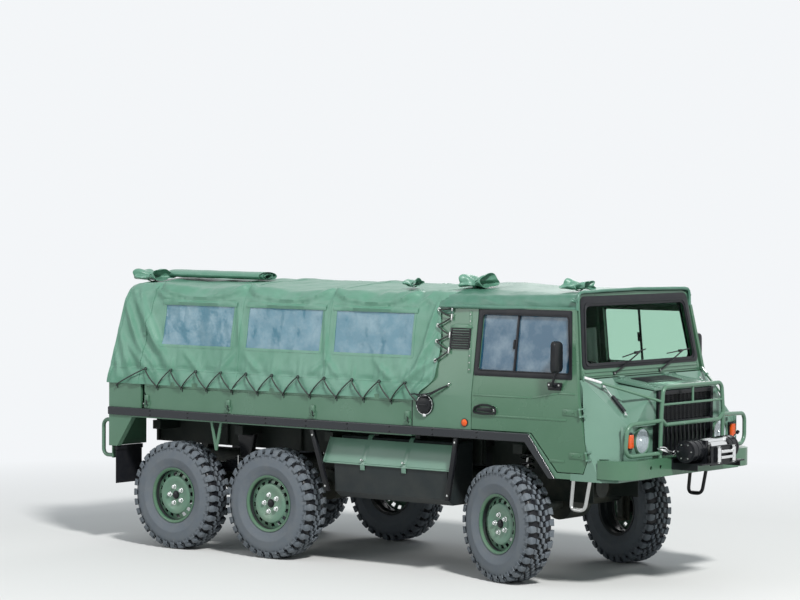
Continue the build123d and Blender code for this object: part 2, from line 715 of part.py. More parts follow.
def cut_above(shape, a, b, c):
    """Keep the part of a shape on the lower or inner side of the plane through three points."""
    along = Vector(*b) - Vector(*a)
    plane = Plane(origin=a, x_dir=along, z_dir=along.cross(Vector(*c) - Vector(*a)))
    return split(shape, bisect_by=plane, keep=Keep.BOTTOM)


def wing():
    """Right wing: its side leans in to the lamp panel, and its top falls from the windscreen."""
    y = BODY_HALF_W
    body = block(NOSE_REAR, NOSE_FRONT, -y, -BAY_HALF_W, NOSE_LOW, COWL_Z)
    body = cut_above(body, (630, -820, 1495), (861, -y, 783), (NOSE_FRONT, -766, 957))
    body = cut_above(body, (660, -464, 1490), (660, -800, 1490), (955, -611, 1200))
    gap = [(500, 838 - PANEL_GAP), (722, 838 - PANEL_GAP), (758, 930), (686, 1306), (656, 1495), (500, 1495)]
    return body - side_plate(gap, -y - 1, -BODY_HALF_W + 65)


def cheek():
    """Sloping side of the bonnet box, right-hand side."""
    body = block(NOSE_REAR, BONNET_FRONT - 20, -640, -BAY_HALF_W, 1168, 1500)
    front_corner = (BONNET_FRONT, -BONNET_HALF_W, BONNET_FRONT_Z)
    rear_corner = (650, -BONNET_HALF_W - 40, BONNET_REAR_Z)
    body = cut_above(body, front_corner, rear_corner, (BONNET_FRONT, -612, 1205))
    top = [
        (NOSE_REAR, BONNET_REAR_Z - 22), (BONNET_FRONT, BONNET_FRONT_Z - 22), (BONNET_FRONT, 1100),
        (NOSE_REAR, 1100),
    ]
    return body & side_plate(top, -700, 0)


# Bumper: a deep channel with round corners
BUMPER_X = 1085.0
BUMPER_LOW = 807.0
BUMPER_HIGH = 938.0
BUMPER_END = 840.0
BUMPER_HALF_W = 885.0
BUMPER_BEND = 180.0
BUMPER_T = 8.0
BUMPER_FLANGE = 70.0
TOW_HOLES = (505.0, 125.0, 14.0)


def bumper_plan(inset):
    back = BUMPER_END - 300
    front = BUMPER_X - inset
    plan = Pos((back + front) / 2, 0) * Rectangle(front - back, 2 * (BUMPER_HALF_W - inset))
    return fillet(plan.vertices().group_by(Axis.X)[-1], BUMPER_BEND - inset)


bumper = Pos(0, 0, BUMPER_LOW) * extrude(bumper_plan(0) - bumper_plan(BUMPER_T), BUMPER_HIGH - BUMPER_LOW)
bumper += Pos(0, 0, BUMPER_HIGH - BUMPER_T) * extrude(bumper_plan(0) - bumper_plan(BUMPER_FLANGE), BUMPER_T)
bumper -= block(0, BUMPER_END, -1000, 1000, 700, 1000)
hole_y, hole_pitch, hole_r = TOW_HOLES
for side in (-1, 1):
    for along in (-hole_pitch / 2, hole_pitch / 2):
        start = (BUMPER_X - 30, side * (hole_y + along), 878)
        bumper -= extrude(Plane(origin=start, z_dir=(1, 0, 0)) * Circle(hole_r), 60)
save("bumper", bumper)

HINGE_X = 654.0
HINGE_Z = BONNET_REAR_Z + 9
lid_half = BONNET_HALF_W + 20
nose = wing() + cheek()
nose = nose + flip(nose)
nose += block(NOSE_REAR, 643, -BAY_HALF_W, BAY_HALF_W, 1440, COWL_Z)
behind_bumper = bumper_plan(-20) - bumper_plan(BUMPER_FLANGE + SEAT)
bumper_room = extrude(behind_bumper, BUMPER_HIGH - BUMPER_LOW + 2 * PANEL_GAP)
bumper_room = Pos(0, 0, BUMPER_LOW - PANEL_GAP) * bumper_room
nose -= bumper_room - block(0, BUMPER_END - PANEL_GAP, -1000, 1000, 700, 1000)
lid_room = [
    (646, 1600), (646, BONNET_REAR_Z - 22), (BONNET_FRONT + 30, BONNET_FRONT_Z - 24),
    (BONNET_FRONT + 30, 1600),
]
nose -= side_plate(lid_room, -lid_half - PANEL_GAP, lid_half + PANEL_GAP)
for fixed, moving in door_hinges():
    nose += fixed
    nose += flip(fixed)

# Bonnet: a shallow lid hinged at the windscreen
LID_T = 16.0
bonnet = side_plate([
    (660, BONNET_REAR_Z), (BONNET_FRONT, BONNET_FRONT_Z), (BONNET_FRONT, BONNET_FRONT_Z - LID_T),
    (660, BONNET_REAR_Z - LID_T),
], -lid_half, lid_half)
for y in (-300, 300):
    place = Plane(origin=(HINGE_X, y, HINGE_Z), x_dir=(1, 0, 0), z_dir=(0, 1, 0))
    fixed, moving = hinge(place, (-20, 0, 0, 24), (0, 40, 6, 20))
    nose += fixed
    bonnet += moving
save("bonnet", bonnet)
save("nose", nose)

# Grille: surround with slats, in front of the radiator block
GRILLE_BACK = BONNET_FRONT - 40
GRILLE_LOW = 945.0
grille_top = BONNET_FRONT_Z - 24
grille_half = BAY_HALF_W - 34
surround = block(GRILLE_BACK, BONNET_FRONT, -BAY_HALF_W + SEAT, BAY_HALF_W - SEAT, GRILLE_LOW, grille_top)
hole_low, hole_high = GRILLE_LOW + 30, grille_top - 30
surround -= block(GRILLE_BACK - 1, BONNET_FRONT + 1, -grille_half, grille_half, hole_low, hole_high)
SLATS = 11
slat_pitch = 2 * grille_half / (SLATS + 1)
for i in range(SLATS):
    y = -grille_half + slat_pitch * (i + 1)
    surround += block(GRILLE_BACK + 8, GRILLE_BACK + 26, y - 6, y + 6, GRILLE_LOW + 20, grille_top - 20)
save("grille", surround)

# Lamps in the lamp panels
LAMP_X = NOSE_FRONT + SEAT
HEADLAMP_Y = 526.0
HEADLAMP_Z = 1062.0
TURN_Y = 692.0
TURN_Z = 1067.0
headlamps = []
markers = []
for side in (-1, 1):
    face = Plane(origin=(LAMP_X, side * HEADLAMP_Y, HEADLAMP_Z), z_dir=(1, 0, 0))
    lens = Pos(0, 0, 14) * extrude(Circle(88), 12, taper=20)
    headlamps.append(face * (extrude(Circle(98), 14) + lens))
    face = Plane(origin=(LAMP_X, side * TURN_Y, TURN_Z), z_dir=(1, 0, 0))
    lens = Pos(0, 0, 10) * extrude(Rectangle(52, 96), 26, taper=12)
    markers.append(face * (extrude(Rectangle(64, 110), 10) + lens))
    side_y = side * (BODY_HALF_W + SEAT)
    face = Plane(origin=(-317, side_y, 1146), z_dir=(0, side, 0))
    markers.append(face * extrude(Circle(30), 16, taper=10))
    face = Plane(origin=(BED_REAR - SEAT, side * 700, 900), z_dir=(-1, 0, 0))
    markers.append(face * extrude(Rectangle(210, 80), 34, taper=4))
save("headlamps", headlamps)
save("marker_lamps", markers)

# Windscreen in its leaning frame
SCREEN_BASE = (644.0, 0.0, 1497.0)
SCREEN_TOP = (561.0, 0.0, 2084.0)
SCREEN_BASE_HALF = BODY_HALF_W - 89.0
SCREEN_TOP_HALF = BODY_HALF_W - 157.0
screen_up = Vector(*SCREEN_TOP) - Vector(*SCREEN_BASE)
screen_h = screen_up.length
screen_plane = Plane(origin=SCREEN_BASE, x_dir=(0, 1, 0), z_dir=Vector(0, 1, 0).cross(screen_up))


def screen_sheet(margin_side, margin_low, margin_high, depth, thick):
    base = SCREEN_BASE_HALF - margin_side
    top = SCREEN_TOP_HALF - margin_side
    high = screen_h - margin_high
    pts = [(-base, margin_low), (base, margin_low), (top, high), (-top, high)]
    sheet = extrude(make_face(Polyline([(x, y, 0) for x, y in pts], close=True)), thick)
    return screen_plane * Pos(0, 0, depth) * sheet


frame = screen_sheet(0, 0, 0, -38, 38) - screen_sheet(52, 84, 50, -39, 40)
header_half = SCREEN_TOP_HALF - 23
header = cross_plate([
    (-header_half, 2070), (-header_half, 2087), (40 - header_half, 2094), (0, 2102),
    (header_half - 40, 2094), (header_half, 2087), (header_half, 2070),
], SCREEN_TOP[0] - 36, SCREEN_TOP[0])
save("windscreen_frame", frame + header)
save("windscreen_glass", screen_sheet(52 + SEAT, 84 + SEAT, 50 + SEAT, -22, 6))

# Brush guard: bent tubes over the grille and lamps, with stays to the windscreen corners
GUARD_R = 15.0
GUARD_X = 1072.0
g = BUMPER_HIGH + 3 * SEAT
upper = bent([(GUARD_X - 8, -420, g), (GUARD_X, -420, 1240), (GUARD_X, -396, 1440), (GUARD_X, 396, 1440),
              (GUARD_X, 420, 1240), (GUARD_X - 8, 420, g)], GUARD_R, 55)
guard = upper
guard += bent([
    (GUARD_X, -420, 1215), (GUARD_X, -360, 1172), (GUARD_X, 360, 1172), (GUARD_X, 420, 1215),
], GUARD_R, 30)
guard += rod((GUARD_X, -410, 1315), (GUARD_X, 410, 1315), 9)
guard += rod((GUARD_X, 0, 1315), (GUARD_X, 0, 1440), 9)
for side in (-1, 1):
    guard += bent([(GUARD_X, side * 420, 1205), (GUARD_X - 40, side * 794, 1190),
                   (GUARD_X - 50, side * 812, 966), (GUARD_X - 8, side * 420, 972)], GUARD_R, 70)
    guard += rod((GUARD_X, side * 420, 1340), (654, side * 797, 1512), 10)
    y0, y1 = sorted((side * 786, side * 808))
    guard += block(647, 660, y0, y1, COWL_Z + SEAT, 1520)
save("brush_guard", guard)

# Winch on a tray in front of the bumper, with a roller fairlead
WINCH_X = 1215.0
WINCH_Z = 985.0
tray = block(BUMPER_X + SEAT, 1335, -300, 290, 890, 900)
tray += block(BUMPER_X + SEAT, BUMPER_X + 12, -300, 290, 890, 930)
tray += block(1325, 1335, -170, 170, 880, 1020)
for y in (-300, 282):
    tray += block(BUMPER_X + SEAT, 1300, y, y + 8, 850, 900)


def drum_part(y0, y1, radius, z=WINCH_Z):
    return Pos(WINCH_X, y0, z) * extrude(Plane.XZ * Circle(radius), -(y1 - y0))


winch = drum_part(-330, -150, 78) + drum_part(-150, 140, 26) + drum_part(140, 275, 82)
winch += block(WINCH_X - 70, WINCH_X + 70, -165, -130, 900 + SEAT, WINCH_Z + 72)
winch += block(WINCH_X - 70, WINCH_X + 70, 130, 160, 900 + SEAT, WINCH_Z + 72)
winch += rod((WINCH_X - 55, -150, WINCH_Z + 60), (WINCH_X - 55, 150, WINCH_Z + 60), 9)
winch += rod((WINCH_X + 55, -150, WINCH_Z + 60), (WINCH_X + 55, 150, WINCH_Z + 60), 9)
save("winch_rope", drum_part(-129.7, 129.7, 52) - drum_part(-129.7, 129.7, 26 + SEAT))
rollers = block(1335 + SEAT, 1343, -125, 125, 900, 1010) - block(1330, 1350, -84, 84, 925, 985)
for y in (-100, 100):
    rollers += rod((1356, y, 903), (1356, y, 1007), 15)
    for z0 in (896, 1007):
        rollers += block(1335 + SEAT, 1372, y - 12, y + 12, z0, z0 + 7)
for z in (936, 976):
    rollers += rod((1356, -100, z), (1356, 100, z), 11)
save("winch", [winch, tray, rollers])

# Steps under the front corners, and stays of the side boxes
def step():
    y = -788.0
    return bent([(545, y, FOOT_Z - SEAT), (545, y, 565), (730, y, 565), (730, y, NOSE_LOW - SEAT)], 14, 45)


def box_stay():
    outer, inner = 30 - BODY_HALF_W, 60 - BODY_HALF_W
    top = RAIL_BOTTOM - 10 - SEAT
    rear = side_plate([(-1805, top), (-1765, top), (-1612, 560), (-1650, 560)], outer, inner)
    top = FLOOR_Z - SEAT
    front = side_plate([(-440, top), (-400, top), (-484, 560), (-520, 560)], outer, inner)
    return [rear, front]


save("steps", [s for piece in [step()] + box_stay() for s in both(piece)])

# Side boxes: fuel tank on the right, battery and tool box on the left
def side_box(x0, x1, hangers):
    shell = cross_plate([
        (-700, 975), (-800, 775), (-790, 560), (-720, 512), (-480, 512), (-480, 975),
    ], x0, x1)
    for x in hangers:
        shell += block(x - 25, x + 25, -640, -560, 970, BED_TOP - BED_T - SEAT)
    return shell


tank = side_box(-1600, -530, (-1320, -930))
battery_box = flip(side_box(-1600, -900, (-1450, -1050)))
save("side_boxes", [tank, battery_box])


# Rear bumperettes, mudflaps and tow hitch
def bumperette():
    y = 60 - BODY_HALF_W
    back = BED_REAR - SEAT
    far = 16 - REAR_REACH
    return bent([(back, y, 985), (far, y, 985), (far, y, 700), (back, y, 700)], 16, 50)


save("bumperettes", both(bumperette()))
flap_x = BED_REAR + 60
flap = block(flap_x - 3, flap_x + 3, 20 - BODY_HALF_W, -560, 480, 780)
flap += block(flap_x - 15, flap_x + 15, 20 - BODY_HALF_W, -560, 750, 782 - SEAT)
save("mudflaps", both(flap))
HITCH_X = BED_REAR - 68.0
HITCH_BORE_R = 15.5
hitch = block(BED_REAR - 23, TUBE_END - SEAT, -70, 70, 595, 715)
for z0 in (595, 695):
    hitch += block(HITCH_X - 40, BED_REAR - 23, -50, 50, z0, z0 + 20)
hitch -= Pos(HITCH_X, 0, 590) * extrude(Circle(HITCH_BORE_R), 130)
save("tow_hitch", hitch)

# Rolled rear curtain and ties on the roof
roof_slope = (ROOF_Z - 2088) / 560
roll_z = ROOF_Z - 210 * roof_slope + 30 * math.hypot(1, roof_slope) + SEAT
roll = rod((-3640, -210, roll_z), (-2720, -210, roll_z), 30)
save("rolled_curtain", roll)
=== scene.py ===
from math import atan2, cos, exp, hypot, pi, radians, sin

import bmesh
import bpy
from bpy.props import FloatProperty, FloatVectorProperty, IntProperty, PointerProperty
from mathutils import Matrix, Vector, noise


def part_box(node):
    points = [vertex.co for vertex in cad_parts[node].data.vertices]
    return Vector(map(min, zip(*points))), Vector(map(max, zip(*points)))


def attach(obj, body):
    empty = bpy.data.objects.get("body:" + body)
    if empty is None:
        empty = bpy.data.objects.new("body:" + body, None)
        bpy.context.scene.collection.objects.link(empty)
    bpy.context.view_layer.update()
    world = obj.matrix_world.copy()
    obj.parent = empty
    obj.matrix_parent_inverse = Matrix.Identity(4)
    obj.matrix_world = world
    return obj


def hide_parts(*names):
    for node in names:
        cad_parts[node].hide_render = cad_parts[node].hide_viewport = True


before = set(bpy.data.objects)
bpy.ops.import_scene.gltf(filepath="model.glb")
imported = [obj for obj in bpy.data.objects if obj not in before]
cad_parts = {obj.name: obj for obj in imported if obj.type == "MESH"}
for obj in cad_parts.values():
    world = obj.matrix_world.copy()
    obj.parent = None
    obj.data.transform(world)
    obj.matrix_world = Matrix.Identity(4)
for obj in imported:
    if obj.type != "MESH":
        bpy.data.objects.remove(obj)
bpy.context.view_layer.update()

bl_info = {
    "name": "Six-wheel canvas-top truck",
    "version": (1, 0, 0),
    "blender": (4, 5, 0),
    "location": "3D View > Sidebar > Truck",
    "description": "Tyres, wheels, canvas, glass and fittings of a light six-wheel military truck",
    "category": "Add Mesh",
}

# Places in metres, with the front axle at x = 0, +Y to the left and +Z up from the ground
AXLE_X = 1.3065
MID_AXLE = -2.2
REAR_AXLE = -3.18
HALF_TRACK = 0.76
KINGPIN_Y = 0.71
WHEEL_Z = 0.424
STEER_AT_REST = radians(-17.8)
SIDE_Y = 0.88
CREASE_Z = 1.34
TUMBLE = 0.1464
BED_REAR = -3.857
REAR_LEAN = 0.1742

# Camera of the photograph
CAMERA_AT = (11.787, -17.371, 2.727)
CAMERA_AIM = (-0.60988, 0.79177, -0.03388)
CAMERA_ROLL = radians(0.296)
LENS_MM = 127.08

WHEELS = (
    ("front_right", 0.0, -1, True),
    ("front_left", 0.0, 1, True),
    ("mid_right", MID_AXLE, -1, False),
    ("mid_left", MID_AXLE, 1, False),
    ("rear_right", REAR_AXLE, -1, False),
    ("rear_left", REAR_AXLE, 1, False),
)


SIDES = ((-1, "right"), (1, "left"))


def side_y(z):
    """Half width of the body's skin at a height."""
    return SIDE_Y - TUMBLE * max(0.0, z - CREASE_Z)


# Materials

PALE_FILM = (0.58, 0.68, 0.70, 1)
FINE_DUST = (0.3, 0.28, 0.23, 1)
# Painted shade: the colour that darkens the hollows between the threads of the weave
WEAVE_PAINTED_SHADE = (0.02, 0.03, 0.02, 1)
PALE_DYE = (0.40, 0.55, 0.50, 1)
ROAD_DUST = (0.3, 0.27, 0.2, 1)
FADED_PAINT = (0.30, 0.42, 0.36, 1)

def feed(tree, node, inputs):
    """Give each input of a node a value or another node's output."""
    for key, value in inputs.items():
        if isinstance(value, bpy.types.NodeSocket):
            tree.links.new(value, node.inputs[key])
        else:
            node.inputs[key].default_value = value
    return node


def new_node(tree, kind, inputs, **settings):
    node = tree.nodes.new(kind)
    for name, value in settings.items():
        setattr(node, name, value)
    return feed(tree, node, inputs)


def new_group(name, inputs):
    """A shader node group that turns its inputs into a colour, a roughness and a height."""
    group = bpy.data.node_groups.new(name, "ShaderNodeTree")
    sockets = {True: "NodeSocketColor", False: "NodeSocketFloat"}
    for label, value in inputs.items():
        socket = group.interface.new_socket(name=label, in_out="INPUT",
                                            socket_type=sockets[isinstance(value, tuple)])
        socket.default_value = value
    for label in ("Colour", "Roughness", "Height"):
        group.interface.new_socket(name=label, in_out="OUTPUT", socket_type=sockets[label == "Colour"])
    return group, group.nodes.new("NodeGroupInput").outputs, group.nodes.new("NodeGroupOutput")


def cloudy(tree, vector, scale, detail=4.0, rough=0.55):
    """Noise between 0 and 1 that is read at a place."""
    inputs = {"Scale": scale, "Detail": detail, "Roughness": rough, "Vector": vector}
    return new_node(tree, "ShaderNodeTexNoise", inputs).outputs["Fac"]


def ramp(tree, value, low, high, to_low=0.0, to_high=1.0):
    """Value between low and high spread over to_low and to_high."""
    inputs = {"From Min": low, "From Max": high, "To Min": to_low, "To Max": to_high, "Value": value}
    return new_node(tree, "ShaderNodeMapRange", inputs).outputs["Result"]


def maths(tree, operation, a, b):
    return new_node(tree, "ShaderNodeMath", {0: a, 1: b}, operation=operation).outputs["Value"]


def blend_colour(tree, factor, a, b):
    return new_node(tree, "ShaderNodeMix", {"Factor": factor, "A": a, "B": b},
                    data_type="RGBA").outputs["Result"]


def object_place(tree):
    return tree.nodes.new("ShaderNodeTexCoord").outputs["Object"]


def coat_group():
    """Paint with cloudy fading and dust that gathers low down."""
    group, ins, outs = new_group("Field coat", {"Colour": (0.1, 0.2, 0.14, 1), "Dust": 0.5, "Fade": 0.2,
                                                "Gloss": 0.45})
    where = object_place(group)
    cloud = cloudy(group, where, 1.7, 6.0)
    patch = ramp(group, cloudy(group, where, 5.0, 5.0, 0.6), 0.42, 0.68)
    height = new_node(group, "ShaderNodeSeparateXYZ", {"Vector": where}).outputs["Z"]
    fade = maths(group, "MULTIPLY", ramp(group, cloud, 0.3, 0.7), ins["Fade"])
    faded = blend_colour(group, fade, ins["Colour"], FADED_PAINT)
    dust = maths(group, "MULTIPLY", maths(group, "MULTIPLY", ramp(group, height, 1.0, 0.35), patch),
                 ins["Dust"])
    cover = maths(group, "MINIMUM", dust, 0.9)
    rough = maths(group, "ADD", ins["Gloss"], maths(group, "MULTIPLY", cover, 0.4))
    feed(group, outs, {
        "Colour": blend_colour(group, cover, faded, ROAD_DUST),
        "Roughness": maths(group, "ADD", rough, ramp(group, cloud, 0.3, 0.7, -0.03, 0.05)),
        "Height": cloudy(group, where, 260.0, 2.0),
    })
    return group


def cloth_group():
    """Woven cloth read from the piece's own UV map in metres: thread height, painted shade in the hollows
    between threads, and cloudy dyeing.
    """
    group, ins, outs = new_group("Woven cloth", {"Colour": (0.16, 0.33, 0.25, 1), "Threads": 420.0,
                                                 "Cloud": 0.25})
    coords = group.nodes.new("ShaderNodeTexCoord").outputs
    thread = {"Distortion": 0.6, "Detail Scale": 3.0, "Vector": coords["UV"], "Scale": ins["Threads"]}
    across, along = (new_node(group, "ShaderNodeTexWave", thread, bands_direction=way) for way in ("X", "Y"))
    weave = maths(group, "MULTIPLY", across.outputs["Fac"], along.outputs["Fac"])
    cloud = cloudy(group, coords["Object"], 2.6, 7.0, 0.6)
    stain = cloudy(group, coords["Object"], 11.0, 5.0, 0.6)
    shade = maths(group, "MULTIPLY", ramp(group, cloud, 0.3, 0.7, -0.5, 0.5), ins["Cloud"])
    shade = maths(group, "ADD", shade, ramp(group, stain, 0.35, 0.65, -0.04, 0.04))
    dyed = blend_colour(group, maths(group, "ADD", shade, 0.06), ins["Colour"], PALE_DYE)
    feed(group, outs, {
        # Painted shade: the weave's hollows darken towards the thread gap colour
        "Colour": blend_colour(group, ramp(group, weave, 0.0, 1.0, 0.1, 0.0), dyed, WEAVE_PAINTED_SHADE),
        "Roughness": ramp(group, stain, 0.3, 0.7, 0.32, 0.42),
        "Height": weave,
    })
    return group


def grain_group():
    """Moulded or cast surface: fine pitting, scuffs and a film of dust."""
    group, ins, outs = new_group("Moulded grain", {"Colour": (0.05, 0.05, 0.05, 1), "Dust": 0.3, "Gloss": 0.6,
                                                   "Grain": 300.0})
    where = object_place(group)
    film = ramp(group, cloudy(group, where, 14.0, 6.0, 0.65), 0.4, 0.75)
    cover = maths(group, "MULTIPLY", film, ins["Dust"])
    pits = new_node(group, "ShaderNodeTexVoronoi", {"Vector": where, "Scale": ins["Grain"]})
    feed(group, outs, {
        "Colour": blend_colour(group, cover, ins["Colour"], FINE_DUST),
        "Roughness": maths(group, "ADD", ins["Gloss"], maths(group, "MULTIPLY", cover, 0.35)),
        "Height": pits.outputs["Distance"],
    })
    return group


GROUP_VALUES = {"coat": ("Dust", "Fade", "Gloss"), "cloth": ("Threads", "Cloud"),
                "grain": ("Dust", "Gloss", "Grain")}
DULL = {"Specular IOR Level": 0.22}
METAL = {"Metallic": 1.0}
BUMP_DEPTH = 0.001

# Finish: group, base colour, group values, bump strength, and plain shader values
FINISHES = {
    "paint": ("coat", (0.068, 0.156, 0.096), (0.12, 0.10, 0.24), 0.01, {}),
    # Darker copy of the paint, painted shade on the doors, bumper, door trim and rim lips
    "deep_paint": ("coat", (0.048, 0.128, 0.070), (0.10, 0.08, 0.26), 0.01, {}),
    # Paler copy of the paint, painted highlight of sun and sky on the bonnet, nose, tank covers and front
    # fittings
    "pale_paint": ("coat", (0.105, 0.205, 0.150), (0.08, 0.16, 0.20), 0.01, {}),
    "wheel_paint": ("coat", (0.088, 0.185, 0.125), (0.18, 0.12, 0.22), 0.02, {}),
    # Black of the side boxes, which also stands in for the shade under them and in the wheels' barrels:
    # painted shade
    "tank_black": ("coat", (0.016, 0.020, 0.022), (0.06, 0.02, 0.34), 0.02, DULL),
    # Near-black paint of the parts underneath, darkened also to stand in for the shade under the body:
    # painted shade
    "under_paint": ("coat", (0.011, 0.015, 0.013), (0.22, 0.04, 0.5), 0.05, DULL),
    "black_paint": ("coat", (0.009, 0.010, 0.012), (0.06, 0.0, 0.22), 0.02, DULL),
    "rail_black": ("coat", (0.010, 0.012, 0.016), (0.05, 0.01, 0.17), 0.02, {}),
    "canvas": ("cloth", (0.092, 0.240, 0.163), (420.0, 0.16), 0.08, {}),
    # Darker copy of the canvas for the cab's cover and hems: painted shade
    "cab_canvas": ("cloth", (0.048, 0.158, 0.104), (420.0, 0.14), 0.08, {}),
    "seat_cloth": ("cloth", (0.03, 0.036, 0.03), (300.0, 0.06), 0.2, {"Sheen Weight": 0.2}),
    # Dark rubber, which also darkens the tyres' crowns between the lugs as painted shade
    "rubber": ("grain", (0.010, 0.011, 0.014), (0.03, 0.36, 220.0), 0.05, DULL),
    "tyre": ("grain", (0.112, 0.130, 0.148), (0.12, 0.6, 180.0), 0.1, DULL),
    "plastic": ("grain", (0.009, 0.010, 0.012), (0.03, 0.28, 700.0), 0.04, DULL),
    "steel": ("grain", (0.50, 0.51, 0.50), (0.12, 0.3, 400.0), 0.04, METAL),
    "bright_steel": ("grain", (0.78, 0.79, 0.79), (0.04, 0.18, 500.0), 0.02, METAL),
    "rope": ("grain", (0.010, 0.014, 0.012), (0.04, 0.6, 500.0), 0.3, {}),
    "wood": ("grain", (0.2, 0.13, 0.07), (0.2, 0.55, 60.0), 0.1, {}),
}
CHOSEN_COLOURS = {"paint": "paint_colour", "canvas": "canvas_colour"}

# Clear finish: base colour, roughness, alpha, transmission, ripple, index of refraction, share of cloudy film
CLEAR_FINISHES = {
    "window_glass": ((0.62, 0.80, 0.70), 0.01, 1.0, 1.0, 0.0, 1.06, 0.0),
    # Mostly opaque dark blue for the right door's pane: painted reflection of the sky and painted shade of
    # the cab behind it
    "door_pane_glass": ((0.022, 0.082, 0.140), 0.04, 0.88, 0.0, 0.0, 1.46, 0.20),
    "clear_sheet": ((0.078, 0.200, 0.262), 0.10, 0.88, 0.0, 0.6, 1.46, 0.22),
    "orange_lens": ((0.66, 0.085, 0.004), 0.12, 1.0, 0.0, 0.0, 1.46, 0.06),
    "red_lens": ((0.45, 0.02, 0.02), 0.15, 1.0, 0.0, 0.0, 1.46, 0.06),
    # Pale, partly opaque base that gives the lenses and dial glasses a painted sheen of reflected light
    "lamp_glass": ((0.66, 0.74, 0.78), 0.05, 0.30, 0.0, 0.0, 1.46, 0.20),
    "mirror_glass": ((0.75, 0.78, 0.80), 0.03, 1.0, 0.0, 0.0, 1.46, 0.06),
}
MADE = {}
GROUPS = {}


def solid_finish(name, material):
    """Painted, woven, moulded or metal."""
    if not GROUPS:
        GROUPS.update(coat=coat_group(), cloth=cloth_group(), grain=grain_group())
    kind, colour, values, strength, plain = FINISHES[name]
    if name in CHOSEN_COLOURS:
        colour = tuple(getattr(bpy.context.scene.truck_sizes, CHOSEN_COLOURS[name]))
    tree = material.node_tree
    inputs = {"Colour": (*colour, 1.0), **dict(zip(GROUP_VALUES[kind], values))}
    look = new_node(tree, "ShaderNodeGroup", inputs, node_tree=GROUPS[kind]).outputs
    bump = new_node(tree, "ShaderNodeBump", {"Strength": strength, "Distance": BUMP_DEPTH,
                                             "Height": look["Height"]})
    feed(tree, tree.nodes["Principled BSDF"], {
        "Base Color": look["Colour"], "Roughness": look["Roughness"], "Normal": bump.outputs["Normal"],
        **plain})
    material.diffuse_color = (*colour, 1.0)


def clear_finish(name, material):
    """Glass, clear sheet and lenses, with a faint film and ripples."""
    colour, rough, alpha, transmission, ripple, bend, cloud = CLEAR_FINISHES[name]
    tree = material.node_tree
    where = object_place(tree)
    film = cloudy(tree, where, 6.0, 6.0, 0.6)
    haze = ramp(tree, film, 0.42, 0.68, 0.0, cloud)
    shader = feed(tree, tree.nodes["Principled BSDF"], {
        "Roughness": ramp(tree, film, 0.35, 0.75, rough, rough + 0.08),
        "Base Color": blend_colour(tree, haze, (*colour, 1.0), PALE_FILM),
        "Alpha": alpha, "Transmission Weight": transmission, "IOR": bend,
    })
    if ripple:
        waves = {"Strength": ripple, "Distance": 0.02, "Height": cloudy(tree, where, 5.0, 3.0)}
        feed(tree, shader, {"Normal": new_node(tree, "ShaderNodeBump", waves).outputs["Normal"]})


def finish(name):
    """A material by its name, built once."""
    if name not in MADE:
        MADE[name] = bpy.data.materials.new(name)
        MADE[name].use_nodes = True
        fill = clear_finish if name in CLEAR_FINISHES else solid_finish
        fill(name, MADE[name])
    return MADE[name]


PALE = (0.90, 0.92, 0.94, 1)


def eye_rays(tree):
    """1 for what the camera sees, straight or in a mirror or through glass."""
    path = tree.nodes.new("ShaderNodeLightPath").outputs
    seen = maths(tree, "MAXIMUM", path["Is Camera Ray"], path["Is Glossy Ray"])
    return maths(tree, "MAXIMUM", seen, path["Is Transmission Ray"])


# Mesh building: each part is a small bmesh that is merged into its piece

def verts_of(geom):
    return [g for g in geom if isinstance(g, bmesh.types.BMVert)]


def faced(part):
    """The part with its normals outwards."""
    bmesh.ops.recalc_face_normals(part, faces=part.faces)
    return part


def add(target, part, material=0, at=None):
    """Merge a part into a piece, placed by a matrix, with one material."""
    if at is not None:
        bmesh.ops.transform(part, matrix=at, verts=part.verts)
    for face in part.faces:
        face.material_index = material
    mesh = bpy.data.meshes.new("part")
    part.to_mesh(mesh)
    part.free()
    target.from_mesh(mesh)
    bpy.data.meshes.remove(mesh)


def soften(part, width, segments=2, angle=30):
    """Round the part's sharp edges."""
    edges = [e for e in part.edges if e.is_manifold and e.calc_face_angle(0.0) > radians(angle)]
    bmesh.ops.bevel(part, geom=edges, offset=width, affect="EDGES", segments=segments, profile=0.5,
                    material=-1,
                    clamp_overlap=True)
    return part


def block(low, high, bevel=0.0, segments=2):
    """A box between two corners."""
    part = bmesh.new()
    bmesh.ops.create_cube(part, size=1.0)
    size = [b - a for a, b in zip(low, high)]
    bmesh.ops.scale(part, vec=size, verts=part.verts)
    bmesh.ops.translate(part, vec=[(a + b) / 2 for a, b in zip(low, high)], verts=part.verts)
    return soften(part, bevel, segments) if bevel else part


def aim(origin, direction, about=0.0):
    """Matrix that puts local Z along a direction at a point."""
    turn = Vector(direction).to_track_quat("Z", "Y").to_matrix().to_4x4()
    return Matrix.Translation(origin) @ turn @ Matrix.Rotation(about, 4, "Z")


def turned(profile, steps=32, close=False):
    """A shape turned about local Z from (radius, height) points; close joins the last to the first."""
    part = bmesh.new()
    verts = [part.verts.new((r, 0, z)) for r, z in profile]
    edges = [part.edges.new(pair) for pair in zip(verts, verts[1:])]
    if close:
        edges.append(part.edges.new((verts[-1], verts[0])))
    bmesh.ops.spin(part, geom=verts + edges, cent=(0, 0, 0), axis=(0, 0, 1), angle=2 * pi, steps=steps,
                   use_merge=True)
    bmesh.ops.remove_doubles(part, verts=part.verts, dist=1e-5)
    return faced(part)


def stud(start, direction, radius, height, sides=16, bevel=0.0):
    """A round bar, bolt head or nut from a point along a direction."""
    part = bmesh.new()
    bmesh.ops.create_cone(part, cap_ends=True, segments=sides, radius1=radius, radius2=radius, depth=height)
    bmesh.ops.translate(part, vec=(0, 0, height / 2), verts=part.verts)
    if bevel:
        soften(part, bevel)
    bmesh.ops.transform(part, matrix=aim(start, direction), verts=part.verts)
    return part


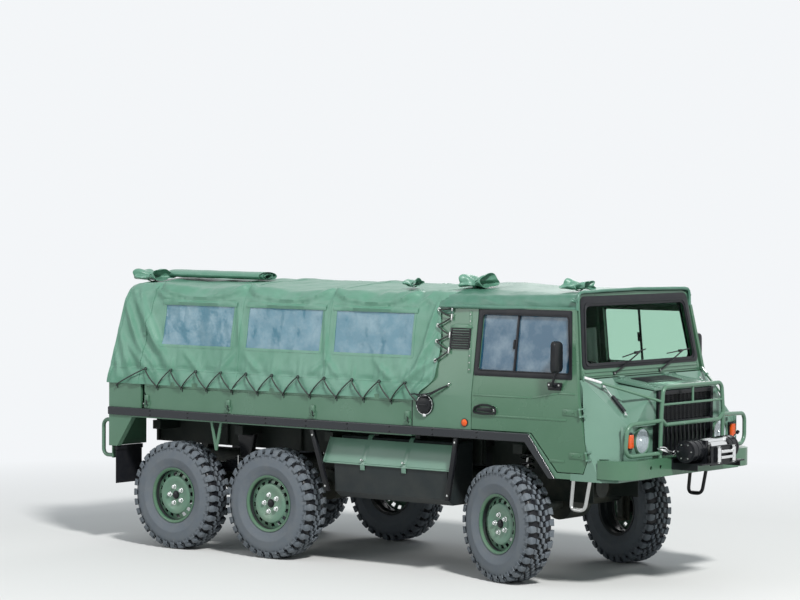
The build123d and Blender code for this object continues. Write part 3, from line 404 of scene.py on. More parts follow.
def rounded(points, radius, steps=5, closed=False):
    """A path's corners as arcs."""
    points = [Vector(p) for p in points]
    count = len(points)
    path = []
    for i, corner in enumerate(points):
        if not closed and i in (0, count - 1):
            path.append(corner)
            continue
        before = points[i - 1] - corner
        after = points[(i + 1) % count] - corner
        reach = min(radius, before.length * 0.45, after.length * 0.45)
        a = corner + before.normalized() * reach
        b = corner + after.normalized() * reach
        for k in range(steps + 1):
            t = k / steps
            path.append((1 - t) ** 2 * a + 2 * t * (1 - t) * corner + t * t * b)
    return path


def pipe(points, radius, sides=12, closed=False, end_radius=None):
    """A round bar along a path, by extruding a ring from point to point."""
    points = [Vector(p) for p in points]
    if closed:
        points = points + [points[0], points[1]]
    part = bmesh.new()
    heading = (points[1] - points[0]).normalized()
    ring = bmesh.ops.create_circle(part, cap_ends=not closed, segments=sides, radius=radius,
                                   matrix=aim(points[0], heading))["verts"]
    edges = list({e for v in ring for e in v.link_edges})
    for i in range(1, len(points)):
        out = bmesh.ops.extrude_edge_only(part, edges=edges)["geom"]
        verts = verts_of(out)
        edges = [g for g in out if isinstance(g, bmesh.types.BMEdge)]
        bmesh.ops.translate(part, vec=points[i] - points[i - 1], verts=verts)
        if i + 1 < len(points):
            after = (points[i + 1] - points[i]).normalized()
            mean = ((points[i] - points[i - 1]).normalized() + after).normalized()
        else:
            mean = (points[i] - points[i - 1]).normalized()
        turn = heading.rotation_difference(mean).to_matrix().to_4x4()
        bmesh.ops.transform(part, matrix=turn, verts=verts, space=Matrix.Translation(-points[i]))
        if end_radius is not None:
            grow = 1.0 + (end_radius / radius - 1.0) * i / (len(points) - 1)
            last = 1.0 + (end_radius / radius - 1.0) * (i - 1) / (len(points) - 1)
            bmesh.ops.scale(part, vec=[grow / last] * 3, verts=verts, space=Matrix.Translation(-points[i]))
        heading = mean
    if closed:
        bmesh.ops.remove_doubles(part, verts=part.verts, dist=radius * 0.02)
    else:
        bmesh.ops.contextual_create(part, geom=edges)
    return faced(part)


def panel(outline, depth, bevel=0.0):
    """A plate from an outline in local X and Y, drawn out along Z."""
    part = bmesh.new()
    face = part.faces.new([part.verts.new((x, y, 0)) for x, y in outline])
    out = bmesh.ops.extrude_face_region(part, geom=[face])["geom"]
    bmesh.ops.translate(part, vec=(0, 0, depth), verts=verts_of(out))
    return soften(faced(part), bevel) if bevel else faced(part)


SIDE_VIEW = Matrix(((1, 0, 0, 0), (0, 0, 1, 0), (0, 1, 0, 0), (0, 0, 0, 1)))


CLOTH_SMOOTH = 60


def finish_piece(name, part, body, finishes, slot, stands_for=(), smooth=35):
    """Close a piece into an object at the origin that rides on a body; finishes are names with spaces."""
    bmesh.ops.translate(part, verts=part.verts, vec=(AXLE_X, 0, 0))
    mesh = bpy.data.meshes.new(name)
    part.to_mesh(mesh)
    part.free()
    for label in finishes.split():
        mesh.materials.append(finish(label))
    mesh.shade_smooth()
    mesh.set_sharp_from_angle(angle=radians(smooth))
    piece = bpy.data.objects.new(name, mesh)
    bpy.context.scene.collection.objects.link(piece)
    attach(piece, body)
    if stands_for:
        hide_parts(*stands_for)
    return piece


def finish_pieces(*rows):
    """Finish rows of name, maker, body, finishes, slot and replaced nodes.

    A * stands for right and left, and a node without one is replaced by the right piece alone.
    """
    for name, make, body, finishes, slot, *nodes in rows:
        if "*" not in name:
            finish_piece(name, make(), body, finishes, slot, nodes)
            continue
        for side, label in SIDES:
            stands_for = [node.replace("*", label) for node in nodes if "*" in node or side < 0]
            finish_piece(name.replace("*", label), make(side), body.replace("*", label), finishes, slot,
                         stands_for)


def wheel_place(axle_x, side, steers):
    """Matrix from a wheel's own axes, +Y outwards, to its place at rest."""
    place = Matrix.Translation((axle_x, side * HALF_TRACK, WHEEL_Z))
    if side < 0:
        place = place @ Matrix.Rotation(pi, 4, "Z")
    if steers:
        pin = Matrix.Translation((axle_x, side * KINGPIN_Y, 0))
        place = pin @ Matrix.Rotation(STEER_AT_REST, 4, "Z") @ pin.inverted() @ place
    return place


ON_AXLE = Matrix.Rotation(-pi / 2, 4, "X")


# Tyres

TYRE_HALF = [
    (0.2062, 0.0), (0.2062, 0.0895), (0.2140, 0.0925), (0.2260, 0.0955), (0.2350, 0.1015), (0.2420, 0.1015),
    (0.2560, 0.1095), (0.2860, 0.1150), (0.2900, 0.1165), (0.2960, 0.1165), (0.3000, 0.1155),
    (0.3300, 0.1145),
    (0.3600, 0.1100), (0.3820, 0.1010), (0.3950, 0.0900), (0.4010, 0.0780), (0.4040, 0.0500), (0.4050, 0.0),
]
TYRE_TIP = 0.4238
LUG_BASE = 0.394


def lug(corners, tops):
    """One tread block from rows of (arc, across) corners; tops gives each row's tip radius."""
    part = bmesh.new()
    rows = [[part.verts.new((t, u, LUG_BASE)) for t, u in row] for row in corners]
    for low, high in zip(rows, rows[1:]):
        part.faces.new((low[0], low[1], high[1], high[0]))
    out = bmesh.ops.extrude_face_region(part, geom=part.faces[:])["geom"]
    lifted = verts_of(out)
    across = [row[0][1] for row in corners]
    for vert in lifted:
        nearest = min(range(len(across)), key=lambda k: abs(corners[k][0][1] - vert.co.y))
        vert.co.z = tops[nearest]
    return faced(part)


def tread(pitches):
    """One pitch of the tread: staggered shoulder lugs that wrap the sidewall, and four rows of blocks."""
    pitch = 2 * pi * TYRE_TIP / pitches
    wide = pitch / 0.1
    part = bmesh.new()
    for side in (-1, 1):
        shift = 0.0 if side > 0 else pitch * 0.5
        shoulder = lug(
            [[(-0.024 * wide, side * 0.058), (0.020 * wide, side * 0.062)],
             [(-0.031 * wide, side * 0.084), (0.030 * wide, side * 0.086)],
             [(-0.033 * wide, side * 0.105), (0.032 * wide, side * 0.105)],
             [(-0.027 * wide, side * 0.1160), (0.027 * wide, side * 0.1160)]],
            [TYRE_TIP, TYRE_TIP - 0.001, TYRE_TIP - 0.008, 0.384])
        for vert in shoulder.verts:
            if abs(vert.co.y) > 0.11:
                vert.co.z = 0.389 if vert.co.z > 0.393 else 0.370
        soften(shoulder, 0.003, 1, 40)
        add(part, shoulder, 0, Matrix.Translation((shift, 0, 0)))
        for rows, along in (
            ([[(-0.034, 0.003), (0.010, 0.001)], [(-0.026, 0.024), (0.020, 0.020)]], 0.46),
            ([[(-0.026, 0.029), (0.018, 0.026)], [(-0.014, 0.052), (0.030, 0.047)]], 0.86),
        ):
            rows = [[(x * wide, side * y) for x, y in row] for row in rows]
            inner = lug(rows, [TYRE_TIP, TYRE_TIP])
            soften(inner, 0.0025, 1, 40)
            add(part, inner, 0, Matrix.Translation((shift + pitch * along, 0, 0)))
    for vert in part.verts:
        arc = vert.co.x / TYRE_TIP
        vert.co = Vector((vert.co.z * sin(arc), vert.co.y, vert.co.z * cos(arc)))
    return part


def tyre(half_width, pitches):
    """A tyre about its own centre, with its axis along Y."""
    half = TYRE_HALF[1:-1]
    ring = [TYRE_HALF[0]] + half + [TYRE_HALF[-1]] + [(r, -u) for r, u in reversed(half)]
    part = turned(ring, 96, close=True)
    bmesh.ops.transform(part, matrix=ON_AXLE, verts=part.verts)
    # Painted shade: the crown of the carcass between the lugs takes the darker rubber
    for face in part.faces:
        middle = face.calc_center_median()
        face.material_index = 1 if hypot(middle.x, middle.z) > 0.386 else 0
    blocks = tread(pitches)
    geom = blocks.verts[:] + blocks.edges[:] + blocks.faces[:]
    bmesh.ops.spin(blocks, geom=geom, cent=(0, 0, 0), axis=(0, 1, 0), angle=2 * pi * (pitches - 1) / pitches,
                   steps=pitches - 1, use_duplicate=True)
    add(part, blocks)
    bmesh.ops.scale(part, vec=(1, half_width / TYRE_HALF[8][1], 1), verts=part.verts)
    return part


# Pressed steel wheels

NOTCHES = 16


def wheel_disc():
    """The domed disc, notched round its edge."""
    profile = [(0.026, 0.062), (0.036, 0.066), (0.052, 0.062), (0.088, 0.064), (0.110, 0.074), (0.132, 0.077),
               (0.146, 0.074), (0.153, 0.066), (0.166, 0.060), (0.1795, 0.054), (0.1965, 0.048)]
    part = turned(profile, NOTCHES * 6)
    doomed = []
    for face in part.faces:
        middle = face.calc_center_median()
        radius = hypot(middle.x, middle.y)
        turn = (atan2(middle.y, middle.x) * NOTCHES / (2 * pi)) % 1.0
        if 0.153 < radius < 0.1795 and turn < 0.5:
            doomed.append(face)
    bmesh.ops.delete(part, geom=doomed, context="FACES")
    bmesh.ops.recalc_face_normals(part, faces=part.faces)
    bmesh.ops.solidify(part, geom=part.faces[:], thickness=0.004)
    return part


def wheel():
    """Rim lip, barrel with painted shade, disc, hub and nuts about the wheel's own centre."""
    part = bmesh.new()
    lip = turned([(0.2180, 0.0990), (0.2170, 0.0925), (0.2070, 0.0905), (0.2062, 0.0820), (0.1975, 0.0820),
                  (0.1985, 0.0915), (0.2050, 0.0970), (0.2130, 0.1000)], 72, close=True)
    # The rim lip takes the darker copy of the paint: painted shade
    add(part, lip, 4, ON_AXLE)
    barrel = turned([
        (0.2060, 0.0835), (0.2050, 0.0300), (0.1900, 0.0200), (0.1900, -0.0400), (0.2050, -0.0520),
        (0.2060, -0.0905),
        (0.2170, -0.0925), (0.2180, -0.0980), (0.2140, -0.0985), (0.1990, -0.0920), (0.1985, -0.0500),
        (0.1845, -0.0380), (0.1845, 0.0120), (0.1975, 0.0300), (0.1990, 0.0835),
    ], 72, close=True)
    # The barrel takes the dark finish as painted shade in the wheel's well
    add(part, barrel, 2, ON_AXLE)
    add(part, wheel_disc(), 0, ON_AXLE)
    for i in range(5):
        turn = Matrix.Rotation(2 * pi * i / 5 + 0.3, 4, "Y")
        add(part, stud((0, 0.058, 0.066), (0, 1, 0), 0.0190, 0.006, 20, 0.001), 3, turn)
        add(part, stud((0, 0.062, 0.066), (0, 1, 0), 0.0155, 0.019, 6, 0.002), 3, turn)
        add(part, stud((0, 0.079, 0.066), (0, 1, 0), 0.007, 0.008, 10), 3, turn)
    hub = turned([(0.0, 0.082), (0.018, 0.081), (0.026, 0.076), (0.030, 0.066), (0.044, 0.0625), (0.044, 0.0),
                  (0.029, 0.0), (0.029, 0.036), (0.0, 0.036)], 36)
    add(part, hub, 1, ON_AXLE)
    valve = pipe([(0.0, 0.030, 0.186), (0.0, 0.060, 0.180)], 0.005, 8)
    add(part, valve, 1)
    return part


# Canvas sheets: a grid laid on a cross-section path that runs along the truck

CANOPY_HALF = ((-0.8903, 1.290), (-0.8903, 1.345), (-0.8012, 1.960), (-0.745, 2.062), (-0.560, 2.100),
               (0, 2.138))
CAB_REAR_HALF = ((-0.802, 1.980), (-0.797, 2.010), (-0.753, 2.074), (-0.560, 2.113), (-0.300, 2.134),
                 (0, 2.147))
CAB_FRONT_HALF = ((-0.7475, 1.980), (-0.744, 2.050), (-0.734, 2.098), (-0.680, 2.108), (-0.300, 2.114),
                  (0, 2.116))
HOOPS = (-3.6, -2.52, -1.643, -0.7)
STUDS = (-3.42, -2.509, -1.655, -0.833)
WINDOWS = ((-3.32, -2.59), (-2.45, -1.703), (-1.585, -0.83))
WINDOW_LOW = 1.605
WINDOW_HIGH = 1.94
WELT_LIFT = 0.0022
CLOTH_PITCH = 0.0175
OPENING_TOP = 1.95
OPENING_HALF = 0.62
CLOTH_REAR = -3.86
CLOTH_FRONT = -0.50
REAR_BEND = -3.40
FRONT_BEND = -0.80
EYELET_REAR = -3.448
EYELET_PITCH = 0.2598
EYELET_Z = 1.412


class Section:
    """A cross-section path with its points and outward normals by arc length."""

    def __init__(self, half, radius):
        path = [(0.0, y, z) for y, z in half] + [(0.0, -y, z) for y, z in reversed(half[:-1])]
        self.points = rounded(path, radius, 8)
        self.lengths = [0.0]
        for a, b in zip(self.points, self.points[1:]):
            self.lengths.append(self.lengths[-1] + (b - a).length)
        self.total = self.lengths[-1]

    def at(self, s):
        """Point and outward normal at an arc length."""
        s = min(max(s, 0.0), self.total)
        k = 1
        while k < len(self.lengths) - 1 and self.lengths[k] < s:
            k += 1
        a, b = self.points[k - 1], self.points[k]
        t = (s - self.lengths[k - 1]) / max(1e-9, self.lengths[k] - self.lengths[k - 1])
        run = (b - a).normalized()
        return a.lerp(b, t), Vector((0.0, -run.z, run.y))

    def find(self, z):
        """Arc length on the right-hand side at a height."""
        for k in range(1, len(self.points)):
            a, b = self.points[k - 1], self.points[k]
            if a.z <= z <= b.z and b.z > a.z:
                return self.lengths[k - 1] + (self.lengths[k] - self.lengths[k - 1]) * (z - a.z) / (b.z - a.z)
        return self.total / 2


def smooth_step(value, low, high):
    t = min(1.0, max(0.0, (value - low) / (high - low)))
    return t * t * (3 - 2 * t)


def between(x, stations):
    """Fraction of the way between the two stations that x lies between."""
    for a, b in zip(stations, stations[1:]):
        if a <= x <= b:
            return (x - a) / (b - a)
    return 0.0


def ridge(distance, width):
    return exp(-(distance / width) ** 2)


def line_ridge(x, z, start, end, width):
    """Height of a fold along a straight line that fades at both ends."""
    dx, dz = end[0] - start[0], end[1] - start[1]
    length = hypot(dx, dz)
    along = ((x - start[0]) * dx + (z - start[1]) * dz) / length
    across = ((x - start[0]) * dz - (z - start[1]) * dx) / length
    t = along / length
    if t <= 0.0 or t >= 1.0:
        return 0.0
    return ridge(across, 1.55 * width * (0.6 + 0.8 * t)) * sin(pi * t) ** 0.6


# Folds of the canvas side as (x, z) to (x, z), with width and height
FOLDS = (
    ((-3.70, 2.05), (-3.19, 1.40), 0.022, 0.020), ((-3.62, 2.05), (-3.32, 1.54), 0.016, 0.014),
    ((-3.78, 2.00), (-3.48, 1.46), 0.018, 0.016), ((-3.50, 2.06), (-3.28, 1.97), 0.014, 0.011),
    ((-3.82, 1.78), (-3.60, 1.33), 0.020, 0.013), ((-3.72, 1.64), (-3.40, 1.37), 0.016, 0.012),
    ((-3.56, 1.62), (-3.30, 1.36), 0.012, 0.009), ((-3.84, 1.60), (-3.72, 1.30), 0.014, 0.010),
    ((-0.62, 2.04), (-0.76, 1.50), 0.014, 0.013), ((-0.60, 1.80), (-0.86, 1.40), 0.016, 0.014),
    ((-0.58, 1.62), (-1.00, 1.34), 0.016, 0.013), ((-0.70, 2.06), (-0.86, 1.97), 0.012, 0.010),
    ((-0.62, 1.52), (-0.80, 1.33), 0.012, 0.010), ((-0.66, 1.74), (-0.70, 1.36), 0.010, 0.007),
    ((-2.56, 1.94), (-2.50, 1.62), 0.012, 0.007), ((-1.70, 1.96), (-1.63, 1.50), 0.012, 0.007),
    ((-2.53, 1.60), (-2.74, 1.38), 0.014, 0.009), ((-1.66, 1.58), (-1.44, 1.37), 0.014, 0.009),
    ((-2.46, 1.58), (-2.22, 1.37), 0.013, 0.008), ((-1.60, 1.58), (-1.86, 1.38), 0.013, 0.008),
    ((-1.20, 1.58), (-0.92, 1.37), 0.014, 0.009), ((-3.10, 1.58), (-2.86, 1.38), 0.013, 0.008),
)


def canopy_push(x, y, z):
    """How far the canvas stands off its even section."""
    side = 1.0 - smooth_step(z, 1.95, 2.02)
    roof = smooth_step(z, 2.06, 2.10)
    u = between(x, HOOPS)
    sag = 4.0 * u * (1.0 - u)
    push = -0.007 * roof * sag - 0.006 * side * sag
    v = between(x, STUDS)
    droop = 2.075 - 0.085 * (4.0 * v * (1.0 - v)) ** 0.8
    swag = ridge(z - droop, 0.022) + 0.5 * ridge(z - droop + 0.047, 0.018) - 0.3 * ridge(z - droop + 0.024,
                                                                                         0.013)
    push += 0.022 * swag * (1.0 if 0.02 < v < 0.98 else 0.4) * (1.0 - smooth_step(z, 2.075, 2.10))
    for stud_x in STUDS:
        for reach, drop, height in ((0.32, 0.050, 0.017), (0.22, 0.100, 0.014), (0.38, 0.020, 0.012)):
            for way in (-1, 1):
                push += height * line_ridge(x, z, (stud_x, 2.078), (stud_x + way * reach, 2.078 - drop),
                                            0.012)
    for start, end, width, height in FOLDS:
        push += 1.6 * height * line_ridge(x, z, start, end, width)
    if z < 1.62:
        phase = (x - EYELET_REAR) / EYELET_PITCH
        near = abs(phase - round(phase)) * EYELET_PITCH
        belly = sin(pi * (phase % 1.0)) ** 2
        push += 0.018 * belly * (1.0 - smooth_step(z, 1.30, 1.43))
        push -= 0.010 * belly * ridge(z - 1.425, 0.016)
        push += 0.009 * ridge(near, 0.016) * smooth_step(z, 1.39, 1.42) * (1.0 - smooth_step(z, 1.46, 1.60))
        push += 0.006 * ridge(near - 0.05, 0.012) * smooth_step(z, 1.40,
                                                                1.43) * (1.0 - smooth_step(z, 1.45, 1.55))
    push += 0.008 * noise.noise(Vector((x * 2.2, y * 2.2, z * 1.6)))
    push += 0.009 * noise.noise(Vector((x * 7.0, y * 5.0, z * 4.0)))
    push += 0.004 * noise.noise(Vector((x * 15.0, y * 10.0, z * 8.0)))
    return push


def canopy_front(z):
    """Front edge of the canvas: it draws back towards the hem."""
    if z < 1.50:
        return -0.742 + 0.150 * smooth_step(z, 1.31, 1.48)
    if z < 2.0:
        return -0.592 + 0.020 * smooth_step(z, 1.50, 1.66) - 0.026 * smooth_step(z, 1.70, 1.98)
    return -0.598 + 0.100 * smooth_step(z, 2.0, 2.09)


def canopy_rear(z):
    return BED_REAR - 0.0106 + REAR_LEAN * (z - 1.318)


CANOPY = Section(CANOPY_HALF, 0.055)
PANE_LOW, PANE_HIGH = CANOPY.find(WINDOW_LOW), CANOPY.find(WINDOW_HIGH)


def canopy_point(x, s, lift=0.0):
    """A point on the canvas; beyond the middle of the last and first stretch the columns follow the edges."""
    at, normal = CANOPY.at(s)
    rear, front = canopy_rear(at.z), canopy_front(at.z)
    if x < REAR_BEND:
        x = REAR_BEND + (x - REAR_BEND) * (rear - REAR_BEND) / (CLOTH_REAR - REAR_BEND)
    elif x > FRONT_BEND:
        x = FRONT_BEND + (x - FRONT_BEND) * (front - FRONT_BEND) / (CLOTH_FRONT - FRONT_BEND)
    edge = smooth_step(x, rear, rear + 0.05)
    push = canopy_push(x, at.y, at.z) * (0.3 + 0.7 * edge)
    return Vector((x, at.y, at.z)) + normal * (push - 0.006 + lift)


def stations(marks, pitch):
    """Marks with even steps of about a pitch between them."""
    line = []
    for a, b in zip(marks, marks[1:]):
        count = max(1, round(abs(b - a) / pitch))
        line += [a + (b - a) * k / count for k in range(count)]
    return line + [marks[-1]]


def laid_sheet(columns, rows, place):
    """A grid whose vertices are laid by place(column, row), with a UV map in metres."""
    part = bmesh.new()
    bmesh.ops.create_grid(part, x_segments=len(columns) - 1, y_segments=len(rows) - 1, size=0.5)
    uv = part.loops.layers.uv.new("cloth")
    cell = {}
    for vert in part.verts:
        i = round((vert.co.x + 0.5) * (len(columns) - 1))
        j = round((vert.co.y + 0.5) * (len(rows) - 1))
        cell[vert] = (i, j)
    for face in part.faces:
        for loop in face.loops:
            i, j = cell[loop.vert]
            loop[uv].uv = (columns[i], rows[j])
    for vert, (i, j) in cell.items():
        vert.co = place(columns[i], rows[j])
    return part


def outward(part, centre=(0, 0, 1.6)):
    """Turn an open sheet's faces away from the truck's middle."""
    bmesh.ops.recalc_face_normals(part, faces=part.faces)
    total = sum((f.normal.dot(f.calc_center_median() - Vector(centre)) * f.calc_area() for f in part.faces))
    if total < 0:
        bmesh.ops.reverse_faces(part, faces=part.faces)
    return part


def thicken(part, thickness):
    """Give an open sheet its thickness inwards."""
    bmesh.ops.solidify(part, geom=part.faces[:], thickness=thickness)
    return part


def in_window(x, s):
    """Whether a place on the canvas lies in one of the windows."""
    level = PANE_LOW < s < PANE_HIGH or PANE_LOW < CANOPY.total - s < PANE_HIGH
    return level and any(a < x < b for a, b in WINDOWS)


def canopy_cloth():
    """The canvas from hem to hem, with its windows cut out."""
    end = CANOPY.total
    rows = stations([0.0, PANE_LOW, PANE_HIGH, end - PANE_HIGH, end - PANE_LOW, end], CLOTH_PITCH)
    columns = stations([CLOTH_REAR, *(x for window in WINDOWS for x in window), CLOTH_FRONT], CLOTH_PITCH)
    part = laid_sheet(columns, rows, canopy_point)
    uv = part.loops.layers.uv["cloth"]
    doomed = []
    for face in part.faces:
        u = sum(loop[uv].uv.x for loop in face.loops) / 4
        v = sum(loop[uv].uv.y for loop in face.loops) / 4
        if in_window(u, v):
            doomed.append(face)
    bmesh.ops.delete(part, geom=doomed, context="FACES")
    return thicken(outward(part), 0.003)


def window_pane(index, side):
    """One clear pane, let into the canvas."""
    low, high = PANE_LOW, PANE_HIGH
    a, b = WINDOWS[index]
    xs = stations([a, b], 0.02)
    ss = stations([low, high] if side < 0 else [CANOPY.total - high, CANOPY.total - low], 0.02)

    def place(x, s):
        u = (x - a) / (b - a)
        crease = 0.0015 * sin(9.0 * u + 5.0 * s) * sin(pi * u)
        return canopy_point(x, s, crease - 0.0012)

    return thicken(outward(laid_sheet(xs, ss, place)), 0.0008)


def surface_band(path, width, lift, thickness=0.0022, place=canopy_point, closed=False):
    """A sewn band that follows a surface along (x, s) points."""
    points = [Vector((x, s, 0)) for x, s in path]
    if closed:
        points.append(points[0])
    columns = [0.0]
    for a, b in zip(points, points[1:]):
        columns.append(columns[-1] + (b - a).length)
    rows = [-width / 2, 0.0, width / 2]

    def lay(distance, offset):
        k = min(range(len(columns)), key=lambda n: abs(columns[n] - distance))
        before = points[k] - points[k - 1] if k else points[1] - points[0]
        after = points[k + 1] - points[k] if k + 1 < len(points) else before
        if closed and k in (0, len(points) - 1):
            before, after = points[-1] - points[-2], points[1] - points[0]
        run = (before.normalized() + after.normalized()).normalized()
        cross = Vector((-run.y, run.x, 0)) * (offset / max(0.5, run.dot(after.normalized())))
        at = points[k] + cross
        return place(at.x, at.y, lift)

    part = laid_sheet(columns, rows, lay)
    if closed:
        bmesh.ops.remove_doubles(part, verts=part.verts, dist=1e-5)
    return thicken(outward(part), thickness)


def straight(start, end, pitch=0.02):
    """Points along a straight line in (x, s)."""
    count = max(1, round(hypot(end[0] - start[0], end[1] - start[1]) / pitch))
    return [(start[0] + (end[0] - start[0]) * k / count, start[1] + (end[1] - start[1]) * k / count)
            for k in range(count + 1)]


def canopy_trim():
    """Welts round the windows, the lip over them, seams and the hem band."""
    part = bmesh.new()
    low, high = PANE_LOW, PANE_HIGH
    for side in (-1, 1):
        def arc(s):
            return s if side < 0 else CANOPY.total - s

        def band(x0, s0, x1, s1, width, lift=WELT_LIFT):
            add(part, surface_band(straight((x0, arc(s0)), (x1, arc(s1))), width, lift))

        def lip(x, s, lift):
            return canopy_point(x, s, 0.002 + lift * smooth_step(abs(arc(s) - high), 0.024, 0.0))

        for a, b in WINDOWS:
            band(a, low, b, low, 0.020)
            band(b, low, b, high, 0.020)
            band(a, high, a, low, 0.020)
            line = straight((a - 0.02, arc(high + 0.006)), (b + 0.02, arc(high + 0.006)))
            add(part, surface_band(line, 0.044, 0.012, 0.0025, lip))
        band(-3.85, 0.022, -0.51, 0.022, 0.044)
        band(-3.85, 0.135, -0.51, 0.135, 0.020)
        for x in (-2.52, -1.643):
            band(x, 0.05, x, 0.72, 0.024)
        band(-0.515, 0.0, -0.515, 0.78, 0.034)
        band(-3.535, 0.0, -3.470, 0.80, 0.022, 0.004)
        button = canopy_point(-3.510, arc(CANOPY.find(1.69)), 0.006)
        add(part, stud(button, (0, side, 0.1), 0.016, 0.006, 20, 0.002), 0)
        band(-3.845, 0.0, -3.845, 0.78, 0.034)
    for x in HOOPS:
        add(part, surface_band(straight((x, 0.86), (x, CANOPY.total - 0.86)), 0.030, WELT_LIFT))
    return part


def rear_wall():
    """Canvas of the rear wall round its opening."""
    high = CANOPY.find(OPENING_TOP)
    columns = stations([0.0, high, CANOPY.total - high, CANOPY.total], 0.02)
    rows = [k / 10 for k in range(11)]
    top = CANOPY.total - 2 * high

    def place(s, t):
        outer = canopy_point(CLOTH_REAR, s)
        if s <= high or s >= CANOPY.total - high:
            side = -1 if s <= high else 1
            inner = Vector((0, side * OPENING_HALF, min(OPENING_TOP, outer.z)))
        else:
            inner = Vector((0, -OPENING_HALF + 2 * OPENING_HALF * (s - high) / top, OPENING_TOP))
        y = outer.y + (inner.y - outer.y) * t
        z = outer.z + (inner.z - outer.z) * t
        fold = 0.010 * sin(pi * t) * noise.noise(Vector((y * 9.0, z * 2.0, 0.0)))
        return Vector((canopy_rear(z) + fold, y, z))

    return thicken(outward(laid_sheet(columns, rows, place)), 0.003)


def cab_section(x):
    """The cab cover's half section at a place along the truck."""
    t = (x + 0.497) / (0.575 + 0.497)
    return [(a[0] + (b[0] - a[0]) * t, a[1] + (b[1] - a[1]) * t) for a, b in zip(CAB_REAR_HALF,
                                                                                 CAB_FRONT_HALF)]


def cab_cover():
    """The cab's canvas from the windscreen back to the canopy."""
    columns = stations([-0.615, 0.575], CLOTH_PITCH)
    sections = {x: Section(cab_section(x), 0.03) for x in columns}
    rows = stations([0.0, 1.0], 0.0085)

    def place(x, t):
        section = sections[x]
        at, normal = section.at(t * section.total)
        u = (x + 0.52) / 1.095
        roof = smooth_step(at.z, 2.06, 2.10)
        push = -0.010 * roof * sin(pi * max(0.0, u))
        push += 0.006 * noise.noise(Vector((x * 3.0, at.y * 3.0, at.z * 3.0)))
        push += 0.005 * noise.noise(Vector((x * 9.0, at.y * 4.0, at.z * 12.0)))
        if at.z < 2.07:
            push += 0.012 * sin(x * 24.0 + at.z * 60.0) * noise.noise(Vector((x * 5.0, at.y, at.z * 8.0)))
        push -= 0.010 * (1.0 - smooth_step(x, -0.62, -0.55))
        edge = 0.004 * ridge(x - 0.565, 0.012)
        return Vector((x, at.y, at.z)) + normal * (push - 0.003 + edge)

    return thicken(outward(laid_sheet(columns, rows, place), (0, 0, 1.9)), 0.003)


def cab_hems():
    """Rolled hems over the doors and along the front, with a knot at each front corner."""
    part = bmesh.new()
    for side in (-1, 1):
        line = []
        for k in range(41):
            x = -0.50 + 1.065 * k / 40
            y, z = cab_section(x)[0]
            sway = 0.004 * noise.noise(Vector((x * 7.0, side, 0.0)))
            line.append((x, side * (abs(y) + 0.004 + sway),
                         z + 0.006 + 0.006 * noise.noise(Vector((x * 4.0, side, 5.0)))))
        add(part, pipe(line, 0.0150, 12), 0)
        add(part, skin_block(-0.614, -0.486, 1.930, 2.014, 0.003, 0.006, side, 0.001), 0)
        add(part, gathered((0.556, side * 0.752, 2.045), (0.024, 0.018, 0.024), 3.0 + side)[0], 0)
    front = Section(cab_section(0.572), 0.03)
    rolled = []
    for k in range(81):
        at, normal = front.at(front.total * k / 80)
        rolled.append(Vector((0.572, at.y, at.z)) + normal * (0.003 + 0.003 * noise.noise(at * 6.0)))
    add(part, pipe(rolled, 0.0125, 12), 0)
    return part


def rolled_cloth(start, end, radius, turns=2.6):
    """A rolled cloth with its spiral showing at the ends and a loose outer edge."""
    start, end = Vector(start), Vector(end)
    length = (end - start).length
    columns = stations([0.0, length], 0.03)
    rows = [k / 60 for k in range(61)]
    frame_at = aim(start, end - start)

    def place(d, t):
        angle = 2 * pi * turns * t
        swell = 1.0 + 0.10 * noise.noise(Vector((d * 6.0, t * 2.0, start.x)))
        r = radius * (0.35 + 0.60 * t) * swell
        return frame_at @ Vector((r * cos(angle), r * sin(angle), d + 0.012 * sin(angle * 0.7)))

    part = laid_sheet(columns, rows, place)
    bmesh.ops.recalc_face_normals(part, faces=part.faces)
    return thicken(part, 0.002)


def gathered(centre, size, seed):
    """A cloth gathered by a tie in its middle: pleats that flare out to both open ends."""
    columns = stations([-1.0, 1.0], 0.05)
    rows = stations([0.0, 2 * pi], 2 * pi / 72)

    def place(u, angle):
        open_up = abs(u) ** 0.8
        pleat = 0.13 * sin(4 * angle + seed + 2.5 * u) + 0.09 * sin(3 * angle - 2.0 * seed - 2.0 * u)
        bend = noise.noise(Vector((u * 1.6 + seed, cos(angle), sin(angle))))
        r = 0.50 + 0.42 * open_up + pleat * (0.5 + 0.5 * open_up) + 0.35 * bend
        tilt = 0.30 * u * sin(seed)
        return Vector((centre[0] + size[0] * (u * (0.95 + 0.15 * cos(angle + seed)) + 0.1 * bend),
                       centre[1] + size[1] * (r * cos(angle) + tilt),
                       centre[2] + size[2]
                       * (r * sin(angle) * (1.0 if sin(angle) > 0 else 0.6) + 0.25 * open_up)))

    part = laid_sheet(columns, rows, place)
    bmesh.ops.remove_doubles(part, verts=part.verts, dist=1e-5)
    bmesh.ops.recalc_face_normals(part, faces=part.faces)
    area = sum(face.calc_area() for face in part.faces)
    thicken(part, 0.003)
    tie = turned([(0.52, -0.10), (0.62, -0.06), (0.62, 0.06), (0.52, 0.10)], 24, close=True)
    at = Matrix.Translation(centre) @ Matrix.Diagonal((*size, 1)) @ Matrix.Rotation(pi / 2, 4, "Y")
    bmesh.ops.transform(tie, matrix=at, verts=tie.verts)
    bmesh.ops.recalc_face_normals(tie, faces=tie.faces)
    add(part, tie)
    return part, area


def curtain_roll():
    """The rear curtain, rolled on the roof and pressed flat by its own weight."""
    roll = rolled_cloth((-3.68, -0.26, 2.156), (-2.74, -0.24, 2.148), 0.046)
    middle = Vector((0, -0.25, 2.152))
    flat = Matrix.Translation(middle) @ Matrix.Diagonal((1, 2.4, 0.80, 1)) @ Matrix.Translation(-middle)
    bmesh.ops.transform(roll, matrix=flat, verts=roll.verts)
    return roll


